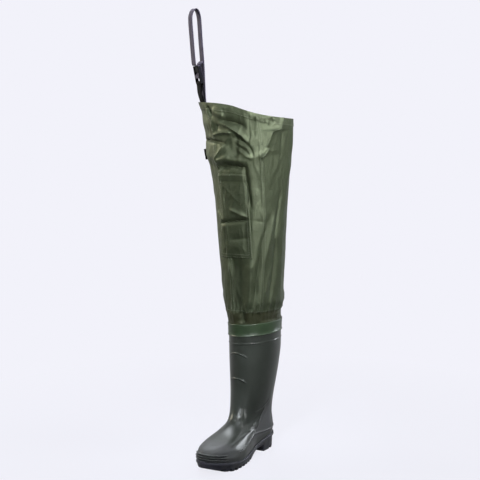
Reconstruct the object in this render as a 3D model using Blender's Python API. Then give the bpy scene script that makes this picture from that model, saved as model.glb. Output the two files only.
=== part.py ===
"""One thigh wader for the right foot: a moulded boot welded to a coated fabric leg with a belt strap.

Metres, +Z up. The toe points along -Y and the outer side of the foot is -X.
The origin is on the floor, under the axis of the boot's shaft.
"""

import math
from collections import namedtuple

import bmesh
import bpy
import numpy as np
from mathutils import Matrix, Vector

# Fits
GAP = 0.0003
TURNS = 40

# Boot
BOOT_WALL = 0.0026
BOOT_HEIGHT = 0.300
TOE_SHIFT = 0.003
TOE_RIBS = 3
TOE_RIB_FIRST = 0.55
TOE_RIB_PITCH = 0.62
TOE_RIB_HEIGHT = 0.0013
TOE_RIB_BACK = -0.165
TOE_RIB_FULL = -0.200
RIM_BEAD_Z = 0.268
RIM_BEAD_HEIGHT = 0.0009
RIM_BEAD_HALF = 0.0018

# Sole
SOLE_LEDGE = 0.0026
SOLE_RAND = 0.0075
SOLE_STEP = 0.0016
SOLE_LIP = 0.0004
SOLE_LIP_SHARE = 0.8
SOLE_DRAFT = 0.0012
HEEL_SPUR = 0.0032
HEEL_SPUR_SHARE = 0.10
LUG_DEPTH = 0.0058
LUG_GROOVE = 0.0062
FOREFOOT_LUG_FIRST = -0.099
FOREFOOT_LUG_PITCH = -0.0165
FOREFOOT_LUGS = 8
HEEL_LUG_FIRST = 0.010
HEEL_LUG_PITCH = 0.0165
HEEL_LUGS = 3
LUG_SLANT = math.radians(14.0)
LUG_REACH = 0.080
SPINE_HALF = 0.009
INSOLE_THICK = 0.0040
INSOLE_INSET = BOOT_WALL + 0.0012

# Leg
LEG_WALL = 0.0010
BAND_LOW = 0.286
BAND_HIGH = 0.315
BAND_WALL = 0.0012
RIM_MIDDLE = 0.813
RIM_RISE = 0.0195
RIM_FALL = 0.0070
HEM_WIDTH = 0.018
HEM_STEP = 0.0008
HEM_EDGE_SHARE = 0.002
OUTER_TURN = 241.5 / 360.0
POCKET_LOW = 0.472
POCKET_HIGH = 0.667
POCKET_FRONT_LOW = 0.418
POCKET_FRONT_HIGH = 0.444
POCKET_REAR_LOW = 0.602
POCKET_REAR_HIGH = 0.564
POCKET_COLUMNS = 10
POCKET_THICK = 0.0022
POCKET_ROWS = 9

# Belt strap, in a plane that holds the strap's own outward direction
STRAP_WIDTH = 0.025
STRAP_THICK = 0.0017
STRAP_AHEAD = math.radians(10.0)
STRAP_TURN = math.radians(20.0)
BUCKLE_WIDTH = 0.0335
BUCKLE_RAIL = 0.0036
BUCKLE_DEPTH = 0.0046
BUCKLE_LENGTH = 0.036
BUCKLE_BAR = 0.0030
BUCKLE_MIDDLE = (0.0062, 0.0625)
BUCKLE_LEAN = math.radians(11.0)
BAR_CLEAR = BUCKLE_BAR * 0.71 + STRAP_THICK / 2.0 + 1.5 * GAP
STRAP_SPACING = 0.0065
WEAVE_SPACING = 0.0014
WEB_SPACING = 0.0036
WEB_NARROWER = 0.001

# Side tab
TAB_BEHIND = math.radians(-15.0)
TAB_HEIGHT = 0.707
TAB_TALL = 0.025
TAB_REACH = 0.0062
TAB_THICK = 0.0034

BootLoop = namedtuple(
    "BootLoop",
    "back_y back_z front_y front_z heel_half fore_half heel_round toe_round toe_square toe_shift sag",
)
BOOT_LOOPS = (
    BootLoop(0.0565, 0.036, -0.2325, 0.0320, 0.0350, 0.0470, 0.15, 0.28, 2.6, 1.00, 0.0160),
    BootLoop(0.0595, 0.047, -0.2340, 0.0400, 0.0363, 0.0480, 0.15, 0.28, 2.6, 1.00, 0.0160),
    BootLoop(0.0607, 0.059, -0.2320, 0.0480, 0.0368, 0.0468, 0.16, 0.29, 2.6, 1.00, 0.0145),
    BootLoop(0.0602, 0.070, -0.2250, 0.0555, 0.0367, 0.0435, 0.18, 0.31, 2.5, 0.95, 0.0105),
    BootLoop(0.0590, 0.080, -0.2100, 0.0610, 0.0366, 0.0390, 0.20, 0.35, 2.4, 0.85, 0.0055),
    BootLoop(0.0580, 0.089, -0.1840, 0.0635, 0.0367, 0.0342, 0.23, 0.41, 2.2, 0.65, 0.0020),
    BootLoop(0.0575, 0.098, -0.1520, 0.0680, 0.0372, 0.0322, 0.27, 0.46, 2.0, 0.40, 0.0000),
    BootLoop(0.0572, 0.109, -0.1215, 0.0770, 0.0385, 0.0328, 0.32, 0.50, 2.0, 0.20, 0.0000),
    BootLoop(0.0578, 0.124, -0.0980, 0.0935, 0.0407, 0.0365, 0.38, 0.50, 2.0, 0.08, 0.0000),
    BootLoop(0.0605, 0.143, -0.0838, 0.1215, 0.0440, 0.0422, 0.44, 0.50, 2.0, 0.00, 0.0000),
    BootLoop(0.0672, 0.172, -0.0755, 0.1630, 0.0487, 0.0480, 0.48, 0.50, 2.0, 0.00, 0.0000),
    BootLoop(0.0762, 0.214, -0.0715, 0.2125, 0.0540, 0.0540, 0.50, 0.50, 2.0, 0.00, 0.0000),
    BootLoop(0.0822, 0.258, -0.0703, 0.2580, 0.0569, 0.0569, 0.50, 0.50, 2.0, 0.00, 0.0000),
    BootLoop(0.0820, BOOT_HEIGHT, -0.0712, BOOT_HEIGHT, 0.0573, 0.0573, 0.50, 0.50, 2.0, 0.00, 0.0),
)

# Shares along the foot from heel to toe: how far each section has gone from heel width to ball
# width, how far its centre has moved to the inner side, and how far it sags to the ball.
PlanStation = namedtuple("PlanStation", "share widening shift sag")
FOOT_PLAN = (
    PlanStation(0.00, 0.00, 0.00, 0.00),
    PlanStation(0.16, 0.00, 0.00, 0.02),
    PlanStation(0.36, -0.08, -0.20, 0.55),
    PlanStation(0.52, 0.50, -0.15, 0.92),
    PlanStation(0.67, 1.00, 0.00, 1.00),
    PlanStation(0.82, 1.00, 0.35, 0.62),
    PlanStation(1.00, 0.90, 1.00, 0.00),
)

SoleStation = namedtuple("SoleStation", "y bottom")
SOLE_PROFILE = (
    SoleStation(0.064, 0.0070),
    SoleStation(0.052, 0.0000),
    SoleStation(-0.0135, 0.0000),
    SoleStation(-0.0150, 0.0160),
    SoleStation(-0.0450, 0.0150),
    SoleStation(-0.0780, 0.0040),
    SoleStation(-0.0900, 0.0000),
    SoleStation(-0.1720, 0.0000),
    SoleStation(-0.2040, 0.0040),
    SoleStation(-0.2400, 0.0150),
)

# Runs of even places at which a wall is drawn
Stretch = namedtuple("Stretch", "first last count")
BOOT_OUTER_STRETCHES = (
    Stretch(0.00, 0.25, 2),
    Stretch(2.50, 3.00, 3),
    Stretch(3.40, 8.00, 11),
    Stretch(8.60, 12.00, 5),
)
BOOT_INNER_STRETCHES = (
    Stretch(0.0, 3.0, 6),
    Stretch(3.5, 8.1, 8),
    Stretch(9.0, 11.3, 3),
)
LEG_STRETCHES = (
    Stretch(0.00, 0.135, 5),
    Stretch(0.20, 0.690, 8),
    Stretch(0.74, 0.900, 4),
)

LegLoop = namedtuple("LegLoop", "height lean behind half_x half_y")
LEG_LOOPS = (
    LegLoop(0.3000, 0.0000, 0.0054, 0.0573, 0.0766),
    LegLoop(0.3150, 0.0000, 0.0048, 0.0587, 0.0768),
    LegLoop(0.3350, 0.0010, 0.0020, 0.0625, 0.0770),
    LegLoop(0.3520, 0.0020, 0.0010, 0.0645, 0.0780),
    LegLoop(0.3680, 0.0015, 0.0010, 0.0690, 0.0800),
    LegLoop(0.4390, 0.0020, 0.0000, 0.0755, 0.0815),
    LegLoop(0.5250, 0.0030, 0.0000, 0.0820, 0.0840),
    LegLoop(0.6240, 0.0055, 0.0000, 0.0900, 0.0870),
    LegLoop(0.6800, 0.0075, 0.0000, 0.0970, 0.0930),
    LegLoop(0.7100, 0.0110, 0.0000, 0.1025, 0.0975),
    LegLoop(0.7500, 0.0105, 0.0000, 0.1040, 0.0985),
    LegLoop(0.7800, 0.0135, 0.0000, 0.1070, 0.1000),
    LegLoop(0.8350, 0.0175, 0.0000, 0.1080, 0.1005),
)

# Shares of the hem's rise, by how far round to the outer side a point of the hem is
HemStation = namedtuple("HemStation", "outer rise")
HEM_CURVE = (
    HemStation(-1.00, -1.00),
    HemStation(-0.50, -0.68),
    HemStation(-0.16, -0.36),
    HemStation(0.16, 0.16),
    HemStation(0.40, 0.56),
    HemStation(0.80, 0.90),
    HemStation(1.00, 1.00),
)

# The strap's middle line: (outward from the wall's inner face at the hem, up from the hem)
STRAP_ROUTE = (
    (-0.0102, -0.0430),
    (-0.0104, -0.0250),
    (-0.0114, -0.0040),
    (-0.0108, 0.0200),
    (-0.0096, 0.0440),
    (-0.0079, 0.0860),
    (-0.0027, 0.1415),
    (0.0022, 0.1940),
    (0.0066, 0.2095),
    (0.0134, 0.2155),
    (0.0200, 0.2095),
    (0.0243, 0.1940),
    (0.0195, 0.1415),
    (0.0158, 0.1000),
)
WEB_ROOT = ((-0.0080, -0.0430), (-0.0062, -0.0200), (-0.0042, 0.0010), (0.0004, 0.0220))


def smooth_through(knots, values, places):
    """Values at places on a curve through the knots that never overshoots a row."""
    knots = np.asarray(knots, float)
    values = np.asarray(values, float)
    places = np.clip(np.asarray(places, float), knots[0], knots[-1])
    steps = np.diff(knots)
    rises = np.diff(values) / steps
    slopes = np.empty_like(values)
    slopes[0] = rises[0]
    slopes[-1] = rises[-1]
    for i in range(1, len(knots) - 1):
        before, after = rises[i - 1], rises[i]
        turning = before * after <= 0.0
        slopes[i] = 0.0 if turning else 2.0 * before * after / (before + after)
    found = np.clip(np.searchsorted(knots, places, side="right") - 1, 0, len(steps) - 1)
    t = (places - knots[found]) / steps[found]
    start = (1 + 2 * t) * (1 - t) ** 2 * values[found] + t * (1 - t) ** 2 * steps[found] * slopes[found]
    end = t**2 * (3 - 2 * t) * values[found + 1] - t**2 * (1 - t) * steps[found] * slopes[found + 1]
    return start + end


def column(rows, name):
    return [getattr(row, name) for row in rows]


def places_in(stretches):
    return [float(place) for s in stretches for place in np.linspace(s.first, s.last, s.count)]


def ease(low, high, value):
    """0 at low, 1 at high, with soft ends."""
    t = np.clip((value - low) / (high - low), 0.0, 1.0)
    return t * t * (3.0 - 2.0 * t)


def shares_of(turns):
    """Share of the way from heel to toe at each turn; turn 0 is the heel and 0.5 the toe."""
    return (1.0 - np.cos(2.0 * math.pi * turns)) / 2.0


def closing(share, heel_round, toe_round, toe_square):
    """How far a loop has opened to its full width, with a round heel end and a round toe end."""
    heel = np.clip((heel_round - share) / heel_round, 0.0, 1.0)
    toe = np.clip((share - 1.0 + toe_round) / toe_round, 0.0, 1.0)
    return np.sqrt(1.0 - heel**2) * (1.0 - toe**toe_square) ** (1.0 / toe_square)


def boot_loop(place, turns):
    """One loop round the boot. Place 0 is the feather line on the sole, the last one the collar."""
    order = np.arange(len(BOOT_LOOPS))
    sizes = (smooth_through(order, column(BOOT_LOOPS, name), place) for name in BootLoop._fields)
    row = BootLoop(*(float(size) for size in sizes))
    share = shares_of(turns)
    stations = column(FOOT_PLAN, "share")
    widening = smooth_through(stations, column(FOOT_PLAN, "widening"), share)
    shift = smooth_through(stations, column(FOOT_PLAN, "shift"), share)
    sag = smooth_through(stations, column(FOOT_PLAN, "sag"), share)
    half = row.heel_half + (row.fore_half - row.heel_half) * widening
    side = np.where(turns < 0.5, 1.0, -1.0)
    opened = closing(share, row.heel_round, row.toe_round, row.toe_square)
    x = TOE_SHIFT * row.toe_shift * shift + side * half * opened
    y = row.back_y + (row.front_y - row.back_y) * share
    z = row.back_z + (row.front_z - row.back_z) * share - row.sag * sag
    return np.stack([x, y, z], axis=-1)


def collar_place(height):
    """Place of a height in the straight stretch of shaft below the collar."""
    low, high = BOOT_LOOPS[-2].back_z, BOOT_LOOPS[-1].back_z
    return len(BOOT_LOOPS) - 2 + (height - low) / (high - low)


def outward(grid):
    """Unit normals of a grid of loops that run from the heel round the inner side, bottom loop first."""
    around = np.roll(grid, -1, axis=1) - np.roll(grid, 1, axis=1)
    along = np.gradient(grid, axis=0)
    normals = np.cross(along, around)
    normals /= np.linalg.norm(normals, axis=-1, keepdims=True)
    middle = grid.mean(axis=1, keepdims=True)
    flat = (grid - middle)[..., :2]
    if float((normals[..., :2] * flat).sum()) < 0.0:
        normals = -normals
    return normals


def even_turns():
    return np.arange(TURNS) / TURNS


def toe_rib_places():
    """Loop places where each rib on the toe starts to rise, is full, and falls again."""
    edges = (0.0, 0.10, 0.34, 0.44)
    return [TOE_RIB_FIRST + rib * TOE_RIB_PITCH + edge for rib in range(TOE_RIBS) for edge in edges]


def boot_relief(places, grid):
    """Height of the moulded ribs over the toe and of the bead below the collar."""
    height = np.zeros(grid.shape[:2])
    toe = ease(TOE_RIB_BACK, TOE_RIB_FULL, grid[..., 1])
    for rib in range(TOE_RIBS):
        low, full, last, high = toe_rib_places()[4 * rib : 4 * rib + 4]
        band = ease(low, full, places) * (1.0 - ease(last, high, places))
        height += TOE_RIB_HEIGHT * band[:, None] * toe
    bead = np.clip(1.0 - np.abs(grid[..., 2] - RIM_BEAD_Z) / RIM_BEAD_HALF, 0.0, 1.0)
    return height + RIM_BEAD_HEIGHT * bead


def boot_outer_grid():
    bead = [collar_place(RIM_BEAD_Z + reach) for reach in (-RIM_BEAD_HALF, 0.0, RIM_BEAD_HALF)]
    collar = collar_place(BOOT_HEIGHT)
    places = np.array(sorted(places_in(BOOT_OUTER_STRETCHES) + toe_rib_places() + bead + [collar]))
    grid = np.stack([boot_loop(place, even_turns()) for place in places])
    return grid + outward(grid) * boot_relief(places, grid)[..., None]


def boot_inner_grid():
    places = places_in(BOOT_INNER_STRETCHES) + [collar_place(BOOT_HEIGHT)]
    grid = np.stack([boot_loop(place, even_turns()) for place in places])
    inner = grid - outward(grid) * BOOT_WALL
    inner[0, :, 2] = grid[0, :, 2]
    inner[-1, :, 2] = BOOT_HEIGHT
    return inner


def rim_height(turns):
    """Height of the thigh hem: highest at the outer side, lowest at the inner side and lower behind."""
    outer = np.cos(2.0 * math.pi * (OUTER_TURN - turns))
    rise = smooth_through(column(HEM_CURVE, "outer"), column(HEM_CURVE, "rise"), outer)
    behind = 0.5 - 0.5 * np.sin(2.0 * math.pi * (OUTER_TURN - turns))
    return RIM_MIDDLE + RIM_RISE * rise - RIM_FALL * behind


def outer_direction(ahead=0.0):
    """Unit vector out of the leg, turned ahead from its outer side towards the toe and the inner side."""
    angle = 2.0 * math.pi * OUTER_TURN - ahead
    return Vector((math.sin(angle), math.cos(angle), 0.0))


def leg_surface(heights, turns):
    """Points of the leg's outer face. Heights and turns broadcast against each other."""
    levels = column(LEG_LOOPS, "height")
    lean = smooth_through(levels, column(LEG_LOOPS, "lean"), heights)
    half_x = smooth_through(levels, column(LEG_LOOPS, "half_x"), heights)
    half_y = smooth_through(levels, column(LEG_LOOPS, "half_y"), heights)
    lean_way = outer_direction()
    angle = 2.0 * math.pi * turns
    x = lean * lean_way.x + half_x * np.sin(angle)
    behind = smooth_through(levels, column(LEG_LOOPS, "behind"), heights)
    y = behind + lean * lean_way.y + half_y * np.cos(angle)
    return np.stack([x, y, heights + 0.0 * angle], axis=-1)


def leg_grid(levels):
    """Loops of the leg; level 0 is the joint with the boot and level 1 the hem."""
    turns = even_turns()[None, :]
    bottom = BOOT_HEIGHT + GAP
    heights = bottom + np.asarray(levels)[:, None] * (rim_height(turns) - bottom)
    return leg_surface(heights, turns)


def new_object(name, bm, finish):
    """A named object from a bmesh, with its faces pointing out."""
    bmesh.ops.recalc_face_normals(bm, faces=bm.faces)
    mesh = bpy.data.meshes.new(name)
    bm.to_mesh(mesh)
    bm.free()
    mesh.shade_smooth()
    mesh.set_sharp_from_angle(angle=math.radians(35.0))
    mesh.materials.append(finish)
    made = bpy.data.objects.new(name, mesh)
    bpy.context.scene.collection.objects.link(made)
    return made


def finish_of(name, colour, roughness):
    finish = bpy.data.materials.new(name)
    finish.use_nodes = True
    shader = finish.node_tree.nodes["Principled BSDF"]
    shader.inputs["Base Color"].default_value = (*colour, 1.0)
    shader.inputs["Roughness"].default_value = roughness
    shader.inputs["Metallic"].default_value = 0.0
    return finish


def add_loops(bm, grid):
    return [[bm.verts.new(point) for point in loop] for loop in grid]


def join_loops(bm, first, second):
    """A ring of faces between two closed loops of equal count."""
    count = len(first)
    for i in range(count):
        j = (i + 1) % count
        bm.faces.new((first[i], first[j], second[j], second[i]))


def tube(name, outer, inner, finish):
    """A hollow wall from loops of its outer face and loops of its inner face, open at both ends."""
    bm = bmesh.new()
    outer_loops = add_loops(bm, outer)
    inner_loops = add_loops(bm, inner)
    for loops in (outer_loops, inner_loops):
        for first, second in zip(loops, loops[1:]):
            join_loops(bm, first, second)
    join_loops(bm, outer_loops[0], inner_loops[0])
    join_loops(bm, outer_loops[-1], inner_loops[-1])
    return new_object(name, bm, finish)


def make_boot_upper(finish):
    return tube("boot_upper", boot_outer_grid(), boot_inner_grid(), finish)


def make_leg(finish):
    hem = 1.0 - HEM_WIDTH / (RIM_MIDDLE - BOOT_HEIGHT)
    levels = np.array(places_in(LEG_STRETCHES) + [hem - HEM_EDGE_SHARE, hem, 1.0])
    outer = leg_grid(levels)
    outer[levels >= hem] += outward(outer)[levels >= hem] * HEM_STEP
    smooth = leg_grid(levels[levels != hem])
    inner = smooth - outward(smooth) * LEG_WALL
    inner[0, :, 2] = smooth[0, :, 2]
    return tube("leg", outer, inner, finish)


def make_joint_band(finish):
    """The tape lies on the boot's collar below the joint and on the leg's end above it."""
    turns = even_turns()
    collar = boot_loop(collar_place(BOOT_HEIGHT), turns)
    low = boot_loop(collar_place(BAND_LOW), turns)
    low[:, 2] = BAND_LOW
    high = leg_surface(np.full(TURNS, BAND_HIGH), turns)
    base = np.stack([low, collar, high])
    normals = outward(base)
    normals[..., 2] = 0.0
    normals /= np.linalg.norm(normals, axis=-1, keepdims=True)
    return tube("joint_band", base + normals * (2 * GAP + BAND_WALL), base + normals * 2 * GAP, finish)


def plan_offset(loop, distance):
    """A loop pushed outward in plan, its heights kept."""
    around = np.roll(loop, -1, axis=0) - np.roll(loop, 1, axis=0)
    normal = np.stack([around[:, 1], -around[:, 0]], axis=-1)
    normal /= np.linalg.norm(normal, axis=-1, keepdims=True)
    middle = loop.mean(axis=0)
    if float((normal * (loop - middle)[:, :2]).sum()) < 0.0:
        normal = -normal
    moved = loop.copy()
    moved[:, :2] += normal * np.broadcast_to(distance, len(loop))[:, None]
    return moved


def sole_turns():
    """Turns at which the sole's outline is drawn: even ones, and one at each break of its profile."""
    heel, toe = BOOT_LOOPS[0].back_y, BOOT_LOOPS[0].front_y
    breaks = [(heel - station.y) / (heel - toe) for station in SOLE_PROFILE[1:-1]]
    inner = [math.acos(1.0 - 2.0 * share) / (2.0 * math.pi) for share in breaks]
    free = [t for t in np.linspace(0.0, 0.5, 23) if min(abs(t - b) for b in inner) > 0.006]
    half = sorted(free + inner)
    return np.array(half + [1.0 - t for t in half[-2:0:-1]])


def ladder(bm, loop):
    """Closes a loop with strips across it, from the inner side to the outer side."""
    count = len(loop)
    for i in range(count // 2):
        ring = [loop[i], loop[i + 1], loop[count - i - 1], loop[-i] if i else loop[0]]
        corners = list(dict.fromkeys(ring))
        bm.faces.new(corners)


def bottom_height(y):
    return np.interp(-np.asarray(y), [-s.y for s in SOLE_PROFILE], column(SOLE_PROFILE, "bottom"))


def lug_places():
    """(y, side) of each groove that parts two lugs; the two sides of the forefoot are staggered."""
    forefoot = [
        (FOREFOOT_LUG_FIRST + FOREFOOT_LUG_PITCH * (i + (0.5 if side < 0 else 0.0)), side)
        for side in (1, -1)
        for i in range(FOREFOOT_LUGS)
    ]
    heel = [(HEEL_LUG_FIRST + HEEL_LUG_PITCH * i, side) for side in (1, -1) for i in range(HEEL_LUGS)]
    return forefoot + heel


def make_lug_cutter():
    """Slanting grooves from both edges of the sole up to a spine along its middle."""
    bm = bmesh.new()
    for y, side in lug_places():
        top = float(bottom_height(y)) + LUG_DEPTH
        tall = LUG_DEPTH + 0.02
        spine = SPINE_HALF + TOE_SHIFT * 0.5 * float(ease(-0.15, -0.23, y)) * side
        size = Matrix.Diagonal((LUG_REACH, LUG_GROOVE, tall, 1.0))
        turn = Matrix.Rotation(side * LUG_SLANT, 4, "Z")
        place = Matrix.Translation((side * spine, y, top - tall / 2.0))
        reach = Matrix.Translation((side * LUG_REACH / 2.0, 0.0, 0.0))
        bmesh.ops.create_cube(bm, size=1.0, matrix=place @ turn @ reach @ size)
    cutter = new_object("lug_cutter", bm, None)
    cutter.hide_render = True
    cutter.display_type = "WIRE"
    return cutter


def make_outsole(finish):
    feather = boot_loop(0.0, sole_turns())
    share = shares_of(sole_turns())
    ledge = SOLE_LEDGE + HEEL_SPUR * (1.0 - ease(0.0, HEEL_SPUR_SHARE, share))
    top = plan_offset(feather, ledge)
    top[:, 2] -= GAP
    lip = plan_offset(feather, ledge + SOLE_LIP)
    lip[:, 2] = top[:, 2] - SOLE_RAND * SOLE_LIP_SHARE
    wall = plan_offset(feather, SOLE_LEDGE - SOLE_STEP)
    wall[:, 2] = top[:, 2] - SOLE_RAND
    foot = plan_offset(feather, SOLE_LEDGE - SOLE_STEP - SOLE_DRAFT)
    foot[:, 2] = bottom_height(feather[:, 1])
    bm = bmesh.new()
    loops = add_loops(bm, (top, lip, wall, foot))
    for first, second in zip(loops, loops[1:]):
        join_loops(bm, first, second)
    ladder(bm, loops[0])
    ladder(bm, loops[-1])
    sole = new_object("outsole", bm, finish)
    grooves = sole.modifiers.new("lug_grooves", "BOOLEAN")
    grooves.operation = "DIFFERENCE"
    grooves.object = make_lug_cutter()
    return sole


def make_insole(finish):
    loop = plan_offset(boot_loop(0.0, sole_turns()), -INSOLE_INSET)
    top = loop + np.array((0.0, 0.0, INSOLE_THICK))
    bm = bmesh.new()
    loops = add_loops(bm, (loop, top))
    join_loops(bm, loops[0], loops[1])
    ladder(bm, loops[0])
    ladder(bm, loops[1])
    return new_object("insole", bm, finish)


def make_side_pocket(finish):
    """A patch cut from the leg's own face between two offsets."""
    up = np.linspace(0.0, 1.0, POCKET_ROWS)[:, None]
    across = np.linspace(0.0, 1.0, POCKET_COLUMNS)[None, :]
    front = POCKET_FRONT_LOW + (POCKET_FRONT_HIGH - POCKET_FRONT_LOW) * up
    rear = POCKET_REAR_LOW + (POCKET_REAR_HIGH - POCKET_REAR_LOW) * up
    turns = front + (rear - front) * across
    patch = leg_surface(POCKET_LOW + (POCKET_HIGH - POCKET_LOW) * up, turns)
    angle = 2.0 * math.pi * turns
    way = np.stack([np.sin(angle), np.cos(angle), np.zeros_like(angle)], axis=-1)
    bm = bmesh.new()
    faces = []
    for out in (GAP * 2, POCKET_THICK):
        rows = add_loops(bm, patch + way * out)
        faces.append(rows)
        for first, second in zip(rows, rows[1:]):
            for i in range(len(first) - 1):
                bm.faces.new((first[i], first[i + 1], second[i + 1], second[i]))
    edges = [
        rows[0][:-1] + [row[-1] for row in rows[:-1]] + rows[-1][:0:-1] + [row[0] for row in rows[:0:-1]]
        for rows in faces
    ]
    join_loops(bm, edges[0], edges[1])
    return new_object("side_pocket", bm, finish)


def strap_frame():
    """Matrix from (outward, along the hem, up) at the strap to the wader's axes."""
    turn = OUTER_TURN - STRAP_AHEAD / (2.0 * math.pi)
    rim = leg_surface(rim_height(np.array([turn])), np.array([turn]))[0]
    out = outer_direction(STRAP_TURN)
    side = Vector((0.0, 0.0, 1.0)).cross(out)
    frame = Matrix((out, side, (0.0, 0.0, 1.0))).transposed().to_4x4()
    frame.translation = Vector(rim) - out * LEG_WALL
    return frame


def curve_through(points, spacing):
    """Points spaced along a smooth curve through hand-placed points."""
    points = np.asarray(points, float)
    lengths = np.concatenate([[0.0], np.cumsum(np.linalg.norm(np.diff(points, axis=0), axis=1))])
    places = np.linspace(0.0, lengths[-1], max(2, int(round(lengths[-1] / spacing)) + 1))
    return np.stack([smooth_through(lengths, points[:, i], places) for i in (0, 1)], axis=-1)


def ribbon(name, line, width, thick, finish):
    """A flat strap whose middle line lies in the strap's plane."""
    along = np.gradient(line, axis=0)
    along /= np.linalg.norm(along, axis=1, keepdims=True)
    across = np.stack([along[:, 1], -along[:, 0]], axis=-1) * thick / 2.0
    frame = strap_frame()
    bm = bmesh.new()
    corners = []
    for side in (-width / 2.0, width / 2.0):
        for edge in (line + across, line - across):
            corners.append([bm.verts.new(frame @ Vector((out, side, up))) for out, up in edge])
    near_out, near_in, far_out, far_in = corners
    for i in range(len(line) - 1):
        for first, second in ((near_out, near_in), (near_in, far_in), (far_in, far_out), (far_out, near_out)):
            bm.faces.new((first[i], first[i + 1], second[i + 1], second[i]))
    for end in (0, -1):
        bm.faces.new((near_out[end], near_in[end], far_in[end], far_out[end]))
    return new_object(name, bm, finish)


def buckle_point(out, up):
    """A point of the buckle's own section, (outward from its middle plane, up from its middle)."""
    c, s = math.cos(BUCKLE_LEAN), math.sin(BUCKLE_LEAN)
    return BUCKLE_MIDDLE[0] + out * c + up * s, BUCKLE_MIDDLE[1] - out * s + up * c


def bar_heights():
    """Heights of the buckle's lower, middle and upper bar in its own section."""
    reach = BUCKLE_LENGTH / 2.0 - BUCKLE_BAR / 2.0
    return -reach, 0.10 * reach, reach


def weave_of_strap():
    """The strap comes down outside the upper bar, round under the middle bar and up inside to its tail."""
    _, middle, upper = bar_heights()
    return [
        buckle_point(BAR_CLEAR + 0.0004, upper + 0.004),
        buckle_point(BAR_CLEAR, upper - 0.004),
        buckle_point(BAR_CLEAR, middle + 0.001),
        buckle_point(BAR_CLEAR * 0.72, middle - BAR_CLEAR * 0.80),
        buckle_point(0.0, middle - BAR_CLEAR),
        buckle_point(-BAR_CLEAR * 0.72, middle - BAR_CLEAR * 0.80),
        buckle_point(-BAR_CLEAR, middle + 0.001),
        buckle_point(-BAR_CLEAR, upper - 0.004),
        buckle_point(-BAR_CLEAR - 0.0012, upper + 0.004),
        buckle_point(-BAR_CLEAR - 0.0112, upper + 0.0095),
    ]


def make_belt_strap(finish):
    weave = weave_of_strap()
    loop = curve_through(list(STRAP_ROUTE) + weave[:1], STRAP_SPACING)
    line = np.concatenate([loop, curve_through(weave, WEAVE_SPACING)[1:]])
    return ribbon("belt_strap", line, STRAP_WIDTH, STRAP_THICK, finish)


def make_buckle_web(finish):
    """Webbing from inside the hem, up round the buckle's lower bar and back down on itself."""
    lower = bar_heights()[0]
    apart = STRAP_THICK + GAP
    eye = [
        buckle_point(BAR_CLEAR * 0.9, lower - 0.004),
        buckle_point(BAR_CLEAR, lower),
        buckle_point(BAR_CLEAR * 0.72, lower + BAR_CLEAR * 0.72),
        buckle_point(0.0, lower + BAR_CLEAR),
        buckle_point(-BAR_CLEAR * 0.72, lower + BAR_CLEAR * 0.72),
        buckle_point(-BAR_CLEAR, lower),
        buckle_point(-BAR_CLEAR * 0.9, lower - 0.004),
    ]
    back = [(out - apart, up) for out, up in reversed(WEB_ROOT[1:])]
    line = curve_through(list(WEB_ROOT) + eye + back, WEB_SPACING)
    return ribbon("buckle_web", line, STRAP_WIDTH - WEB_NARROWER, STRAP_THICK, finish)


def make_strap_buckle(finish):
    """A plate with two slots: deep side rails, and three bars a little thinner than the rails."""
    frame = strap_frame()
    rail = BUCKLE_WIDTH / 2.0 - BUCKLE_RAIL
    columns = (
        (-BUCKLE_WIDTH / 2.0, BUCKLE_DEPTH * 0.7),
        (-rail, BUCKLE_DEPTH),
        (-rail + 0.0007, BUCKLE_BAR),
        (rail - 0.0007, BUCKLE_BAR),
        (rail, BUCKLE_DEPTH),
        (BUCKLE_WIDTH / 2.0, BUCKLE_DEPTH * 0.7),
    )
    rows = [up + edge for up in bar_heights() for edge in (-BUCKLE_BAR / 2.0, BUCKLE_BAR / 2.0)]
    bm = bmesh.new()
    corners = {}
    for i, (side, depth) in enumerate(columns):
        for j, up in enumerate(rows):
            for k, out in enumerate((-depth / 2.0, depth / 2.0)):
                section = buckle_point(out, up)
                corners[i, j, k] = bm.verts.new(frame @ Vector((section[0], side, section[1])))
    last_column, last_row = len(columns) - 2, len(rows) - 2

    def solid(i, j):
        inside = 0 <= i <= last_column and 0 <= j <= last_row
        return inside and (i in (0, last_column) or j % 2 == 0)

    for i in range(last_column + 1):
        for j in range(last_row + 1):
            if not solid(i, j):
                continue
            for k in (0, 1):
                cell = ((i, j), (i + 1, j), (i + 1, j + 1), (i, j + 1))
                bm.faces.new([corners[a, b, k] for a, b in cell])
            sides = (
                ((i - 1, j), (i, j), (i, j + 1)),
                ((i + 1, j), (i + 1, j), (i + 1, j + 1)),
                ((i, j - 1), (i, j), (i + 1, j)),
                ((i, j + 1), (i, j + 1), (i + 1, j + 1)),
            )
            for neighbour, first, second in sides:
                if not solid(*neighbour):
                    edge = ((*first, 0), (*second, 0), (*second, 1), (*first, 1))
                    bm.faces.new([corners[corner] for corner in edge])
    return new_object("strap_buckle", bm, finish)


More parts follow.
